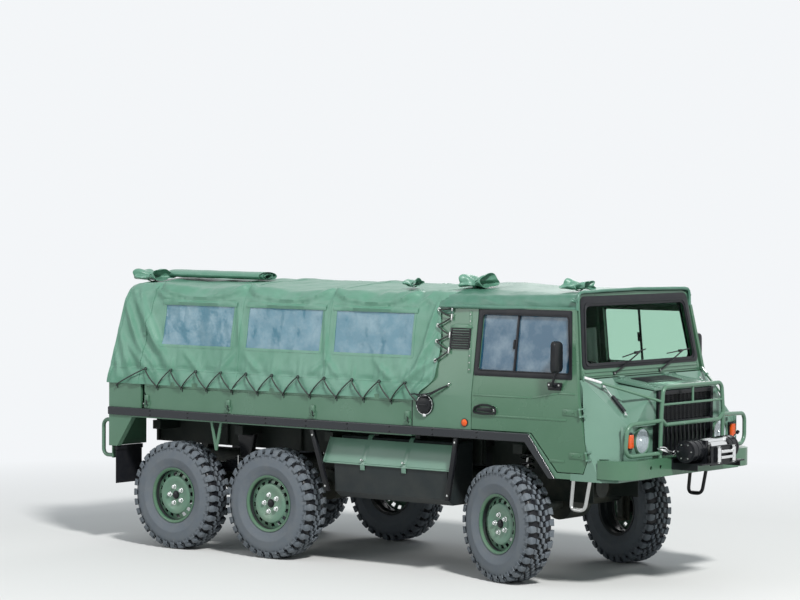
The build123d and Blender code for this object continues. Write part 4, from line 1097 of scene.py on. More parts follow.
# Bundle: name, centre, half size, seed of its pleats, and the cloth under it
ROOF_BUNDLES = (
    ("bundle_rear", (-3.735, -0.50, 2.128), (0.100, 0.120, 0.056), 1.0, "canopy_cloth"),
    ("bundle_knot", (-1.06, -0.52, 2.126), (0.058, 0.075, 0.034), 4.0, "canopy_cloth"),
    ("bundle_flap", (-0.485, -0.50, 2.140), (0.100, 0.110, 0.062), 7.0, "cab_cover"),
    ("bundle_front", (0.43, -0.52, 2.138), (0.088, 0.095, 0.046), 9.0, "cab_cover"),
)


# Lacing along the hem, taut between eyelets in the canvas and hooks on the side

HOOK_Z = 1.278


def eyelet():
    """A pressed ring in the cloth, about local Z."""
    return turned([(0.007, 0.0), (0.009, 0.003), (0.014, 0.002), (0.015, 0.0)], 16)


def lacing(side):
    """Eyelets, hooks and the rope that zigzags between them: rope, black."""
    part = bmesh.new()
    rope_radius = bpy.context.scene.truck_sizes.rope_radius

    def on_side(x, z, lift):
        s = CANOPY.find(z)
        return canopy_point(x, s if side < 0 else CANOPY.total - s, lift)

    eyelets = [EYELET_REAR + EYELET_PITCH * k for k in range(11)]
    hooks = [-3.759] + [x - EYELET_PITCH * 0.53 for x in eyelets[1:]] + [eyelets[-1] + EYELET_PITCH * 0.4]
    run = [Vector((x, side * 0.897, HOOK_Z)) for x in hooks]
    path = []
    for at, x in zip(run, eyelets):
        path += [at, on_side(x, EYELET_Z, 0.012)]
    path.append(run[-1])
    line = []
    for a, b in zip(path, path[1:]):
        for k in range(4):
            t = k / 4
            point = a.lerp(b, t)
            bow = 0.017 * 4 * t * (1 - t)
            point.y += side * bow
            line.append(point)
    line.append(path[-1])
    add(part, pipe(line, rope_radius, 8), 0)
    for x in eyelets:
        at = on_side(x, EYELET_Z, 0.002)
        add(part, eyelet(), 1, aim(at, (0, side, 0.1)))
    for x in hooks:
        hook = pipe(rounded([(x, side * 0.881, HOOK_Z - 0.030), (x, side * 0.884, HOOK_Z + 0.002),
                             (x, side * 0.899, HOOK_Z + 0.004),
                             (x, side * 0.899, HOOK_Z - 0.016)], 0.008), 0.0035, 8)
        add(part, hook, 1)
    return part


# Fittings laid against the body's side: drawn as (x, z) outlines, with a height off the skin

def on_skin(part, side):
    """Bend a part drawn as (x, lift, z) onto the body's side."""
    for vert in part.verts:
        x, lift, z = vert.co
        vert.co = Vector((x, side * (side_y(z) + lift), z))
    return faced(part)


def skin_plate(outline, low, high, side, bevel=0.0):
    """A plate on the body's side, between two heights off it."""
    part = panel(outline, high - low, bevel)
    bmesh.ops.translate(part, vec=(0, 0, low), verts=part.verts)
    bmesh.ops.transform(part, matrix=SIDE_VIEW, verts=part.verts)
    return on_skin(part, side)


def skin_block(x0, x1, z0, z1, low, high, side, bevel=0.0):
    return skin_plate([(x0, z0), (x1, z0), (x1, z1), (x0, z1)], low, high, side, bevel)


def ring_plate(outer, inner, depth, bevel=0.0):
    """A flat frame between two outlines in local X and Y, drawn out along Z."""
    part = bmesh.new()
    edges = []
    for line in (outer, inner):
        verts = [part.verts.new((p[0], p[1], 0)) for p in line]
        edges += [part.edges.new(pair) for pair in zip(verts, verts[1:] + verts[:1])]
    bmesh.ops.bridge_loops(part, edges=edges)
    out = bmesh.ops.extrude_face_region(part, geom=part.faces[:])["geom"]
    bmesh.ops.translate(part, vec=(0, 0, depth), verts=verts_of(out))
    return soften(faced(part), bevel) if bevel else faced(part)


def round_outline(points, radius, steps=5):
    return [(p.x, p.y) for p in rounded([(x, y, 0) for x, y in points], radius, steps, closed=True)]


def skin_ring(outer, inner, low, high, side, bevel=0.002):
    part = ring_plate(outer, inner, high - low, bevel)
    bmesh.ops.translate(part, vec=(0, 0, low), verts=part.verts)
    bmesh.ops.transform(part, matrix=SIDE_VIEW, verts=part.verts)
    return on_skin(part, side)


def skin_bolt(x, z, side, radius=0.007, height=0.004, lift=0.0):
    return stud((x, side * (side_y(z) + lift), z), (0, side, 0.0), radius, height, 10, 0.0015)


def swage(points, width, height, side):
    """A pressed rib along a line of (x, z) points."""
    part = bmesh.new()
    for a, b in zip(points, points[1:]):
        run = Vector((b[0] - a[0], b[1] - a[1])).normalized() * width / 2
        cross = Vector((-run.y, run.x))
        outline = [(a[0] - cross.x, a[1] - cross.y), (b[0] - cross.x, b[1] - cross.y),
                   (b[0] + cross.x, b[1] + cross.y), (a[0] + cross.x, a[1] + cross.y)]
        add(part, skin_plate(outline, -0.002, height, side, height * 0.8))
    return part


DOOR_WINDOW_OUT = ((-0.254, 1.492), (0.606, 1.492), (0.555, 1.979), (-0.254, 1.979))
DOOR_WINDOW_IN = ((-0.212, 1.538), (0.578, 1.538), (0.526, 1.932), (-0.212, 1.932))
DOOR_PIN_LOW = Vector((0.757, -0.892, 0.930))
DOOR_PIN_RUN = Vector((-0.072, 0, 0.376)).normalized()


def door_trim(side):
    """Window gasket and divider, pressed ribs, handle and hinge leaves: paint with painted shade, rubber,
    plastic, steel.
    """
    part = bmesh.new()
    add(part, skin_ring(round_outline(DOOR_WINDOW_OUT, 0.014), round_outline(DOOR_WINDOW_IN, 0.022), 0.0,
                        0.005, side), 1)
    lip_out = [(-0.220, 1.530), (0.586, 1.530), (0.534, 1.940), (-0.220, 1.940)]
    add(part, skin_ring(round_outline(lip_out, 0.022), round_outline(DOOR_WINDOW_IN, 0.022), 0.004, 0.010,
                        side), 1)
    add(part, skin_block(0.090, 0.106, 1.537, 1.933, -0.011, 0.002, side, 0.002), 1)
    add(part, skin_block(0.070, 0.086, 1.690, 1.760, -0.010, 0.002, side, 0.003), 2)
    add(part, swage([(-0.245, 1.207), (0.575, 1.207)], 0.016, 0.0035, side), 0)
    add(part, swage([(-0.245, 1.352), (0.272, 1.352), (0.500, 1.394), (0.640, 1.394)], 0.014, 0.0035, side),
        0)
    pan = [(-0.235, 1.212), (-0.030, 1.212), (-0.030, 1.285), (-0.235, 1.285)]
    inner = [(-0.225, 1.221), (-0.040, 1.221), (-0.040, 1.276), (-0.225, 1.276)]
    add(part, skin_ring(round_outline(pan, 0.030), round_outline(inner, 0.026), -0.001, 0.004, side), 0)
    loop = [(x, side * (side_y(1.25) + 0.012), z) for x, z in
            ((-0.232, 1.226), (-0.150, 1.219), (-0.032, 1.226), (-0.040, 1.262), (-0.100, 1.284),
             (-0.170, 1.284), (-0.225, 1.262))]
    add(part, pipe(rounded(loop, 0.022, 4, closed=True), 0.0075, 10, closed=True), 2)
    lever = [(-0.205, 1.238), (-0.075, 1.234), (-0.060, 1.248), (-0.075, 1.262), (-0.205, 1.260)]
    add(part, skin_plate(lever, 0.004, 0.016, side, 0.004), 2)
    add(part, skin_block(-0.200, -0.176, 1.236, 1.262, -0.001, 0.010, side, 0.003), 2)
    add(part, stud((-0.055, side * (side_y(1.2) + 0.001), 1.248), (0, side, 0), 0.010, 0.006, 16, 0.001), 3)
    for along in (0.030, 0.340):
        at = DOOR_PIN_LOW + DOOR_PIN_RUN * along
        x0, x1 = at.x - 0.150, at.x - 0.030
        add(part, skin_block(x0, x1, at.z - 0.022, at.z + 0.022, 0.0, 0.005, side, 0.002), 0)
        for x in (x0 + 0.025, x1 - 0.030):
            add(part, skin_bolt(x, at.z, side, 0.008, 0.004, 0.005), 0)
    add(part, skin_block(0.430, 0.560, 0.905, 0.925, -0.001, 0.003, side, 0.002), 0)
    return part


# Windscreen: its own plane, with X across the truck, Y up the glass and Z outwards

SCREEN_BASE = Vector((0.644, 0, 1.497))
SCREEN_TOP = Vector((0.561, 0, 2.084))
SCREEN_BASE_HALF = 0.791
SCREEN_TOP_HALF = 0.723


def screen_place():
    up = (SCREEN_TOP - SCREEN_BASE).normalized()
    out = Vector((0, 1, 0)).cross(up)
    return Matrix(((0, up.x, out.x, SCREEN_BASE.x), (1, up.y, out.y, 0), (0, up.z, out.z, SCREEN_BASE.z),
                   (0, 0, 0, 1)))


def screen_outline(side, low, high, radius):
    """The windscreen's outline with margins at its sides, foot and head."""
    top = (SCREEN_TOP - SCREEN_BASE).length - high
    return round_outline([(side - SCREEN_BASE_HALF, low), (SCREEN_BASE_HALF - side, low),
                          (SCREEN_TOP_HALF - side, top), (side - SCREEN_TOP_HALF, top)], radius)


WIPERS = (((-0.387, 0.023), (-0.030, 0.163), (-0.255, 0.136), (0.055, 0.182)),
          ((0.222, 0.021), (0.560, 0.155), (0.345, 0.140), (0.655, 0.163)))


def windscreen_trim():
    """Gasket, pressed ribs under the glass, and two wipers: paint, rubber, plastic, steel."""
    part = bmesh.new()
    place = screen_place()
    add(part, ring_plate(screen_outline(0.014, 0.066, 0.006, 0.05), screen_outline(0.074, 0.106, 0.078, 0.05),
                         0.006,
                         0.002), 1, place)
    lip = ring_plate(screen_outline(0.052, 0.083, 0.052, 0.05), screen_outline(0.062, 0.093, 0.062, 0.05),
                     0.011, 0.003)
    add(part, lip, 1, place)
    back = ring_plate(screen_outline(0.045, 0.076, 0.045, 0.05), screen_outline(0.074, 0.106, 0.078, 0.05),
                      0.004)
    add(part, back, 1, place @ Matrix.Translation((0, 0, -0.042)))
    for along, half in ((0.020, 0.755), (0.046, 0.750)):
        rib = block((-half, along - 0.008, -0.002), (half, along + 0.008, 0.006), 0.004)
        add(part, rib, 0, place)
    for x in (-0.765, 0.765):
        add(part, block((x - 0.008, 0.01, -0.002), (x + 0.008, 0.060, 0.004), 0.002), 0, place)
    for pivot, elbow, tip_a, tip_b in WIPERS:
        up = Vector((*pivot, 0.0))
        add(part, stud(up, (0, 0, 1), 0.012, 0.013, 16, 0.003), 2, place)
        add(part, stud(up + Vector((0, 0, 0.012)), (0, 0, 1), 0.007, 0.007, 12, 0.002), 3, place)
        line = [(pivot[0], pivot[1], 0.015), ((pivot[0] * 2 + elbow[0]) / 3, (pivot[1] * 2 + elbow[1]) / 3,
                                              0.022),
                (elbow[0], elbow[1], 0.020)]
        add(part, pipe(rounded(line, 0.05), 0.0048, 8, end_radius=0.0032), 2, place)
        for shift in (-0.010, 0.010):
            side_rod = [(pivot[0] + shift * 0.6, pivot[1], 0.012), (elbow[0] + shift * 0.5, elbow[1], 0.016)]
            add(part, pipe(side_rod, 0.0025, 6), 2, place)
        a, b = Vector((*tip_a, 0.014)), Vector((*tip_b, 0.014))
        add(part, pipe([a, b], 0.0045, 8), 2, place)
        run = (b - a).normalized()
        edge = Matrix.Translation(a) @ Matrix(((run.x, -run.y, 0, 0), (run.y, run.x, 0, 0), (0, 0, 1, 0),
                                               (0, 0, 0, 1)))
        add(part, block((0.0, -0.002, -0.010), ((b - a).length, 0.002, 0.0), 0.0008, 1), 1, place @ edge)
        middle = a.lerp(b, 0.55)
        add(part, block(middle - Vector((0.022, 0.010, 0.0)), middle + Vector((0.022, 0.010, 0.014)), 0.003),
            2, place)
    return part


CROSS_VIEW = Matrix(((0, 0, 1, 0), (1, 0, 0, 0), (0, 1, 0, 0), (0, 0, 0, 1)))


def mirror(side):
    """Mirror head on a bent tube with its foot block: plastic, mirror, rubber."""
    part = bmesh.new()
    skin = side_y(1.44)
    add(part, block((0.410, -skin - 0.022, 1.436), (0.530, -skin + 0.001, 1.470), 0.006), 0)
    add(part, block((0.415, -skin - 0.021, 1.415), (0.525, -skin - 0.006, 1.440), 0.005), 0)
    for x in (0.428, 0.512):
        add(part, stud((x, -skin - 0.021, 1.453), (0, -1, 0), 0.008, 0.006, 6, 0.001), 2)
    arm = [(0.470, -skin - 0.012, 1.445), (0.480, -0.934, 1.452), (0.530, -0.934, 1.560)]
    add(part, pipe(rounded(arm, 0.03), 0.009, 12), 0)
    add(part, stud((0.470, -skin - 0.010, 1.444), (0.02, -1, 0.05), 0.015, 0.022, 16, 0.003), 0)
    corners = [(-1.0, 1.540), (-0.868, 1.540), (-0.872, 1.770), (-0.996, 1.770)]
    head = panel(round_outline(corners, 0.040, 6), 0.032)
    crown = [v for v in head.verts if v.co.z > 0.02]
    middle = Vector((-0.934, 1.655, 0.0))
    bmesh.ops.scale(head, vec=(0.86, 0.90, 1.0), verts=crown, space=Matrix.Translation(-middle))
    add(part, soften(head, 0.007, 3), 0, Matrix.Translation((0.510, 0, 0)) @ CROSS_VIEW)
    glass = round_outline([(-0.990, 1.550), (-0.878, 1.550), (-0.881, 1.760), (-0.986, 1.760)], 0.034, 6)
    add(part, panel(glass, 0.002), 1, Matrix.Translation((0.5092, 0, 0)) @ CROSS_VIEW)
    add(part, stud((0.530, -0.934, 1.548), (0, 0, 1), 0.014, 0.040, 16, 0.003), 0)
    if side > 0:
        bmesh.ops.scale(part, vec=(1, -1, 1), verts=part.verts)
        bmesh.ops.reverse_faces(part, faces=part.faces)
    return part


# Lamps

LAMP_X = 0.9706


def headlamp(side):
    """Ring, dished reflector, bulb and fluted lens: paint, bright metal, glass."""
    part = bmesh.new()
    at = aim((LAMP_X, side * 0.526, 1.062), (1, 0, 0))
    add(part, turned([(0.098, 0.0), (0.098, 0.013), (0.094, 0.019), (0.089, 0.019), (0.086, 0.014),
                      (0.086, 0.0)], 48,
                     close=True), 0, at)
    add(part, turned([(0.0, 0.0), (0.0858, 0.0), (0.0858, 0.010), (0.060, 0.006), (0.030, 0.0035),
                      (0.0, 0.003)], 48), 1, at)
    add(part, turned([(0.0, 0.013), (0.010, 0.012), (0.013, 0.008), (0.013, 0.003), (0.0, 0.003)], 20), 1, at)
    flutes = [k / 96 for k in range(97)]
    rows = [k / 20 for k in range(21)]

    def dome(u, v):
        u, v = 2 * u - 1, 2 * v - 1
        y = u * (1 - v * v / 2) ** 0.5
        x = v * (1 - u * u / 2) ** 0.5
        r2 = min(1.0, x * x + y * y)
        bulge = 0.013 + 0.011 * (1 - r2) + 0.0018 * (1 - r2) ** 0.3 * cos(u * 30)
        return Vector((y * 0.0865, x * 0.0865, bulge))

    lens = laid_sheet(flutes, rows, dome)
    bmesh.ops.recalc_face_normals(lens, faces=lens.faces)
    add(part, thicken(lens, 0.0025), 2, at)
    return part


def turn_lamp(side):
    """Orange lens with level ribs on a black base: plastic, orange."""
    part = bmesh.new()
    y, z = side * 0.692, 1.067
    add(part, block((LAMP_X, y - 0.037, z - 0.060), (LAMP_X + 0.014, y + 0.037, z + 0.060), 0.003), 0)
    add(part, block((LAMP_X + 0.009, y - 0.026, z - 0.048), (LAMP_X + 0.033, y + 0.026, z + 0.048), 0.006, 3),
        1)
    for k in range(8):
        rib = z - 0.038 + k * 0.0109
        add(part, block((LAMP_X + 0.030, y - 0.023, rib - 0.0028), (LAMP_X + 0.0352, y + 0.023, rib + 0.0028),
                        0.002), 1)
    return part


def side_marker(side):
    part = bmesh.new()
    at = aim((-0.317, side * (side_y(1.146) + 0.0004), 1.146), (0, side, 0))
    add(part, turned([(0.0, 0.0), (0.030, 0.0), (0.030, 0.005), (0.027, 0.007), (0.0, 0.007)], 32), 0, at)
    add(part, turned([(0.0, 0.016), (0.012, 0.0155), (0.020, 0.013), (0.0255, 0.007), (0.0, 0.006)], 32), 1,
        at)
    return part


def rear_lamp(side):
    """Black box with red, orange and clear lenses, and a bracket: plastic, red, orange, glass."""
    part = bmesh.new()
    back = BED_REAR - 0.0004
    y = side * 0.700
    add(part, block((back - 0.022, y - 0.105, 0.860), (back, y + 0.105, 0.940), 0.005), 0)
    for shift, radius, material in ((-0.066, 0.031, 2), (0.0, 0.031, 1), (0.066, 0.026, 3)):
        at = aim((back - 0.0215, y + side * -shift, 0.900), (-1, 0, 0))
        add(part, turned([(0.0, 0.0), (radius + 0.002, 0.0), (radius + 0.002, 0.004), (radius, 0.006),
                          (0.0, 0.006)], 28), 0, at)
        add(part, turned([(0.0, 0.0125), (radius * 0.6, 0.0115), (radius * 0.92, 0.008), (radius, 0.004),
                          (0.0, 0.004)], 28),
            material, at)
    return part


# Sides

LOUVRE = (-0.490, -0.312, 1.678, 1.832)
FILLER = (-0.675, 1.259)
LACE = ((-0.490, 1.972), (-0.606, 1.958), (-0.488, 1.905), (-0.604, 1.842), (-0.492, 1.776), (-0.602, 1.728),
        (-0.488, 1.664), (-0.600, 1.586))
SIDE_BRACKETS = (-3.440, -2.587, -1.740, -0.834)


def side_trim(side):
    """Louvre, riveted strip, pillar lacing with cleats, and seam covers: paint, plastic, steel, rope."""
    part = bmesh.new()
    x0, x1, z0, z1 = LOUVRE
    outer = round_outline([(x0 - 0.002, z0 - 0.002), (x1 + 0.002, z0 - 0.002), (x1 + 0.002, z1 + 0.002),
                           (x0 - 0.002, z1 + 0.002)], 0.012)
    inner = round_outline([(x0 + 0.013, z0 + 0.012), (x1 - 0.013, z0 + 0.012), (x1 - 0.013, z1 - 0.012),
                           (x0 + 0.013, z1 - 0.012)], 0.008)
    add(part, skin_ring(outer, inner, 0.0, 0.010, side, 0.003), 1)
    pitch = (z1 - z0 - 0.028) / 7
    for k in range(7):
        z = z0 + 0.014 + pitch * (k + 0.5)
        slat = block((x0 + 0.012, 0.004, z - 0.0075), (x1 - 0.012, 0.0125, z + 0.0045), 0.002)
        add(part, on_skin(slat, side), 1)
    cap = [(x0 - 0.006, z1 - 0.004), (x1 + 0.006, z1 - 0.004), (x1 + 0.006, z1 + 0.010),
           (x1 - 0.040, z1 + 0.026),
           (x0 + 0.040, z1 + 0.026), (x0 - 0.006, z1 + 0.010)]
    add(part, skin_plate(cap, 0.0, 0.014, side, 0.004), 0)
    strip = [(-0.344, 1.955), (-0.318, 1.955), (-0.282, 1.506), (-0.310, 1.506)]
    add(part, skin_plate(strip, -0.001, 0.0025, side, 0.001), 0)
    for k in range(9):
        t = (k + 0.5) / 9
        add(part, skin_bolt(-0.331 + 0.035 * t, 1.955 - 0.449 * t, side, 0.0055, 0.004, 0.0025), 2)
    line = [Vector((x, side * (side_y(z) + (0.026 if x < -0.55 else 0.013)), z)) for x, z in LACE]
    path = []
    for a, b in zip(line, line[1:]):
        path += [a, a.lerp(b, 0.5) + Vector((0, side * 0.006, -0.006))]
    path.append(line[-1])
    add(part, pipe(rounded(path, 0.02, 3), 0.0056, 8), 3)
    for x, z in LACE:
        if x > -0.55:
            base = (x, side * (side_y(z) - 0.001), z)
            add(part, stud(base, (0, side, 0), 0.006, 0.016, 12, 0.001), 2)
            add(part, skin_block(x - 0.007, x + 0.007, z - 0.024, z + 0.024, 0.014, 0.020, side, 0.003), 2)
        else:
            at = (x, side * (side_y(z) + 0.020), z)
            add(part, eyelet(), 2, aim(at, (0, side, 0.1)))
    seam = [(-0.800, 1.102), (-0.793, 1.102), (-0.793, 1.300), (-0.800, 1.300)]
    add(part, skin_plate(seam, -0.001, 0.0025, side, 0.001), 1)
    for x in (-3.40, -3.0, -2.6, -2.2, -1.8, -1.4, -1.0, -0.6, -0.2):
        for z in (1.083, 1.047):
            add(part, skin_bolt(x, z, side, 0.007, 0.004, 0.0148), 1)
    return part


def side_hooks(side):
    """Catches of the drop sides, on the brackets: green plates, dark hooks."""
    part = bmesh.new()
    y = side * 0.893
    for x in SIDE_BRACKETS:
        hook = rounded([(x + 0.016, y, 1.126), (x + 0.016, y + side * 0.012, 1.128),
                        (x + 0.016, y + side * 0.013, 1.158),
                        (x + 0.004, y + side * 0.010, 1.164)], 0.008)
        add(part, pipe(hook, 0.0042, 8), 1)
        add(part, stud((x - 0.014, y, 1.136), (0, side, 0), 0.006, 0.008, 12, 0.001), 0)
        add(part, block((x - 0.020, min(y, y - side * 0.010), 1.150),
                        (x + 0.020, max(y, y - side * 0.010), 1.205), 0.003), 0)
    return part


def filler_cap():
    """Glossy cap with a grip ring and a bright catch: plastic, steel."""
    part = bmesh.new()
    x, z = FILLER
    at = aim((x, -side_y(z) - 0.0003, z), (0, -1, 0))
    add(part, turned([(0.0, 0.0), (0.0765, 0.0), (0.0765, 0.008), (0.0735, 0.013), (0.064, 0.0135),
                      (0.062, 0.020),
                      (0.060, 0.028), (0.056, 0.031), (0.030, 0.0335), (0.0, 0.0345)], 48), 0, at)
    for k in range(16):
        turn = Matrix.Rotation(2 * pi * k / 16, 4, "Z")
        add(part, block((0.058, -0.005, 0.013), (0.065, 0.005, 0.028), 0.002), 0, at @ turn)
    add(part, block((-0.045, -0.006, 0.030), (0.045, 0.006, 0.040), 0.003), 0, at)
    add(part, block((-0.014, -0.066, 0.004), (0.014, -0.086, 0.014), 0.002), 1, at)
    add(part, turned([(0.0700, 0.012), (0.0735, 0.012), (0.0735, 0.0155), (0.0700, 0.0155)], 48, close=True),
        1, at)
    return part


def bungee():
    """Elastic cord from the front corner of the hem over the cap to the pillar."""
    part = bmesh.new()
    y = -0.908
    for points in (((-0.800, y, 1.330), (-0.762, y - 0.004, 1.337), (-0.700, y - 0.010, 1.334),
                    (-0.620, y - 0.004, 1.344),
                    (-0.530, y + 0.002, 1.384), (-0.474, -0.876, 1.411)),
                   ((-0.762, y, 1.340), (-0.690, y - 0.014, 1.318), (-0.640, y - 0.010, 1.322),
                    (-0.500, y + 0.006, 1.392),
                    (-0.474, -0.874, 1.408))):
        add(part, pipe(rounded(points, 0.03, 4), 0.0048, 8), 0)
    add(part, pipe(rounded([(-0.466, -0.866, 1.402), (-0.466, -0.884, 1.404), (-0.462, -0.886, 1.424),
                            (-0.458, -0.866, 1.426)],
                           0.008), 0.004, 8), 1)
    return part


# Tank covers, straps and stays

def tank_dress(side):
    """Cover over the box's upper slope, with straps round the box: paint with painted highlight, and steel.
    """
    part = bmesh.new()
    x0, x1 = (-1.700, -0.505) if side < 0 else (-1.640, -0.860)

    def slope(x, z, lift):
        t = (0.975 - z) / 0.200
        return (x, side * (0.700 + 0.100 * t + lift * 0.894), z + lift * 0.447)

    sheet = laid_sheet(stations([x0, x1], 0.06), [0.955, 0.952, 0.90, 0.84, 0.780, 0.772],
                       lambda x, z: Vector(slope(x, z, 0.010 if 0.775 < z < 0.953 else 0.002)))
    add(part, thicken(outward(sheet, (0, 0, 0.8)), 0.003), 0)
    for x in (x0 + 0.004, x1 - 0.004):
        add(part, pipe([slope(x, 0.955, 0.008), slope(x, 0.772, 0.008)], 0.006, 8), 0)
    add(part, pipe([slope(x0, 0.772, 0.006), slope(x1, 0.772, 0.006)], 0.006, 8), 0)
    straps = (-1.320, -0.930) if side < 0 else (-1.420, -1.080)
    for x in straps:
        band = [(0.690, 0.990), (0.706, 0.976), (0.808, 0.777), (0.806, 0.735)]
        path = [(x, side * y, z) for y, z in band]
        for a, b in zip(path, path[1:]):
            run = Vector(b) - Vector(a)
            place = aim(a, run)
            turn = place.inverted() @ Matrix.Translation(place.translation)
            wide = (turn @ Vector((1, 0, 0)))
            bar = block((-0.020, -0.0035, -0.002), (0.020, 0.0035, run.length + 0.002), 0.001)
            about = atan2(wide.y, wide.x)
            add(part, bar, 0, place @ Matrix.Rotation(about, 4, "Z"))
        add(part, stud((x, side * 0.800, 0.800), (0, side * 0.9, 0.45), 0.008, 0.030, 12, 0.001), 1)
    return part


def side_stay(side):
    """Slanting flat stays at the ends of the side boxes, with bolts."""
    part = bmesh.new()
    for outline in (((-1.805, 1.0227), (-1.765, 1.0227), (-1.612, 0.560), (-1.650, 0.560)),
                    ((-0.440, 1.0397), (-0.400, 1.0397), (-0.484, 0.560), (-0.520, 0.560))):
        plate = panel(outline, 0.030, 0.004)
        bmesh.ops.transform(plate, matrix=SIDE_VIEW, verts=plate.verts)
        bmesh.ops.recalc_face_normals(plate, faces=plate.faces)
        add(part, plate, 0, Matrix.Translation((0, -0.850 if side < 0 else 0.820, 0)))
        (ax, az), (bx, bz) = outline[0], outline[3]
        for t in (0.10, 0.92):
            x, z = ax + (bx - ax) * t + 0.020, az + (bz - az) * t
            add(part, stud((x, side * 0.850, z), (0, side, 0), 0.009, 0.006, 6, 0.001), 1)
    return part


def step_loop(side):
    y = side * 0.788
    part = bmesh.new()
    line = rounded([(0.577, y, 0.8060), (0.553, y, 0.565), (0.672, y, 0.565), (0.716, y, 0.7850)], 0.045, 6)
    add(part, pipe(line, 0.0135, 14), 0)
    for x, z in ((0.577, 0.804), (0.716, 0.782)):
        add(part, stud((x, y, z), (0, 0, -1), 0.022, 0.008, 20, 0.002), 0)
    for x in (0.590, 0.620, 0.650):
        add(part, block((x - 0.014, y - 0.013, 0.577), (x + 0.014, y + 0.013, 0.582), 0.002), 0)
    return part


# Front

def bonnet_place(x, y=0.0, lift=0.0):
    slope = 0.051 / 0.358
    z = 1.482 - (x - 0.660) * slope
    return Matrix.Translation((x, y, z + lift)) @ Matrix.Rotation(atan2(slope, 1.0), 4, "Y")


def bonnet_vent():
    """Slatted vent behind, a raised field and edge beads on the lid: paint with painted highlight, plastic.
    """
    part = bmesh.new()
    place = bonnet_place(0.765)
    outer = round_outline([(-0.080, -0.235), (0.080, -0.235), (0.080, 0.235), (-0.080, 0.235)], 0.02)
    inner = round_outline([(-0.068, -0.222), (0.068, -0.222), (0.068, 0.222), (-0.068, 0.222)], 0.015)
    add(part, ring_plate(outer, inner, 0.005, 0.002), 1, place)
    add(part, panel(inner, 0.001), 1, place)
    for k in range(10):
        x = -0.062 + k * 0.0138
        add(part, block((x - 0.004, -0.220, 0.0), (x + 0.004, 0.220, 0.0045), 0.0015), 1, place)
    front = bonnet_place(0.845)
    for side in (-1, 1):
        bead = [(-0.160, side * 0.390, 0.001), (0.150, side * 0.385, 0.001)]
        add(part, pipe(bead, 0.004, 8), 0, front)
    field = [(0.015, -0.300), (0.145, -0.285), (0.145, 0.285), (0.015, 0.300)]
    add(part, panel(round_outline(field, 0.03), 0.0035, 0.0025), 0, front)
    for side in (-1, 1):
        add(part, block((-0.02, side * 0.33 - 0.02, 0.0), (0.05, side * 0.33 + 0.02, 0.006), 0.003), 0,
            bonnet_place(0.970))
    return part


def bonnet_catch(side):
    """Rubber catch with a bright rod, down the slope of the wing: steel, rubber."""
    part = bmesh.new()
    a, b = Vector((0.728, side * 0.652, 1.436)), Vector((0.918, side * 0.652, 1.249))
    up = Vector((0.70, 0, 0.71)) * 0.012
    add(part, pipe([a + up, b + up], 0.0055, 10), 0)
    add(part, pipe([a.lerp(b, 0.38) + up * 1.2, a.lerp(b, 0.92) + up * 1.2], 0.014, 14), 1)
    for t in (0.42, 0.52, 0.62, 0.72, 0.82):
        add(part, stud(a.lerp(b, t) + up * 1.2, b - a, 0.0165, 0.006, 14, 0.002), 1)
    for t in (0.0, 1.0):
        foot = a.lerp(b, t)
        add(part, stud(foot - up * 0.4, up, 0.013, 0.022, 14, 0.002), 0)
    return part


def front_trim():
    """Mesh of the upper grille, sleeves of the stays, cowl seams and latches: black, paint with painted
    highlight, steel.
    """
    part = bmesh.new()
    for k in range(49):
        y = -0.336 + k * 0.014
        add(part, block((1.0085, y - 0.0011, 1.190), (1.0105, y + 0.0011, 1.378)), 0)
    for k in range(14):
        z = 1.192 + k * 0.0142
        add(part, block((1.0100, -0.338, z - 0.0011), (1.0120, 0.338, z + 0.0011)), 0)
    add(part, block((1.004, -0.338, 1.176), (1.016, 0.338, 1.190), 0.003), 0)
    for side in (-1, 1):
        a, b = Vector((0.654, side * 0.797, 1.512)), Vector((1.072, side * 0.420, 1.340))
        add(part, pipe([a.lerp(b, 0.02), a.lerp(b, 0.24)], 0.0125, 14), 2)
        add(part, stud(a.lerp(b, 0.235), b - a, 0.0155, 0.012, 14, 0.002), 1)
        add(part, block((0.662, min(side * 0.786, side * 0.808), 1.486),
                        (0.668, max(side * 0.786, side * 0.808), 1.520),
                        0.002), 1)
        add(part, pipe([a.lerp(b, 0.24), a.lerp(b, 0.97)], 0.0085, 12), 1)
        y0, y1 = sorted((side * 0.640, side * 0.768))
        add(part, block((0.958, y0, 0.985), (0.9735, y1, 1.176), 0.003), 1)
        for y in (side * 0.736, side * 0.752, side * 0.766):
            add(part, block((0.968, y - 0.0025, 0.986), (0.980, y + 0.0025, 1.172), 0.001), 1)
        # Black plates behind the bumper's tow holes: painted shade that darkens the holes
        y0, y1 = sorted((side * 0.400, side * 0.610))
        add(part, block((1.060, y0, 0.850), (1.068, y1, 0.906)), 0)
    return part


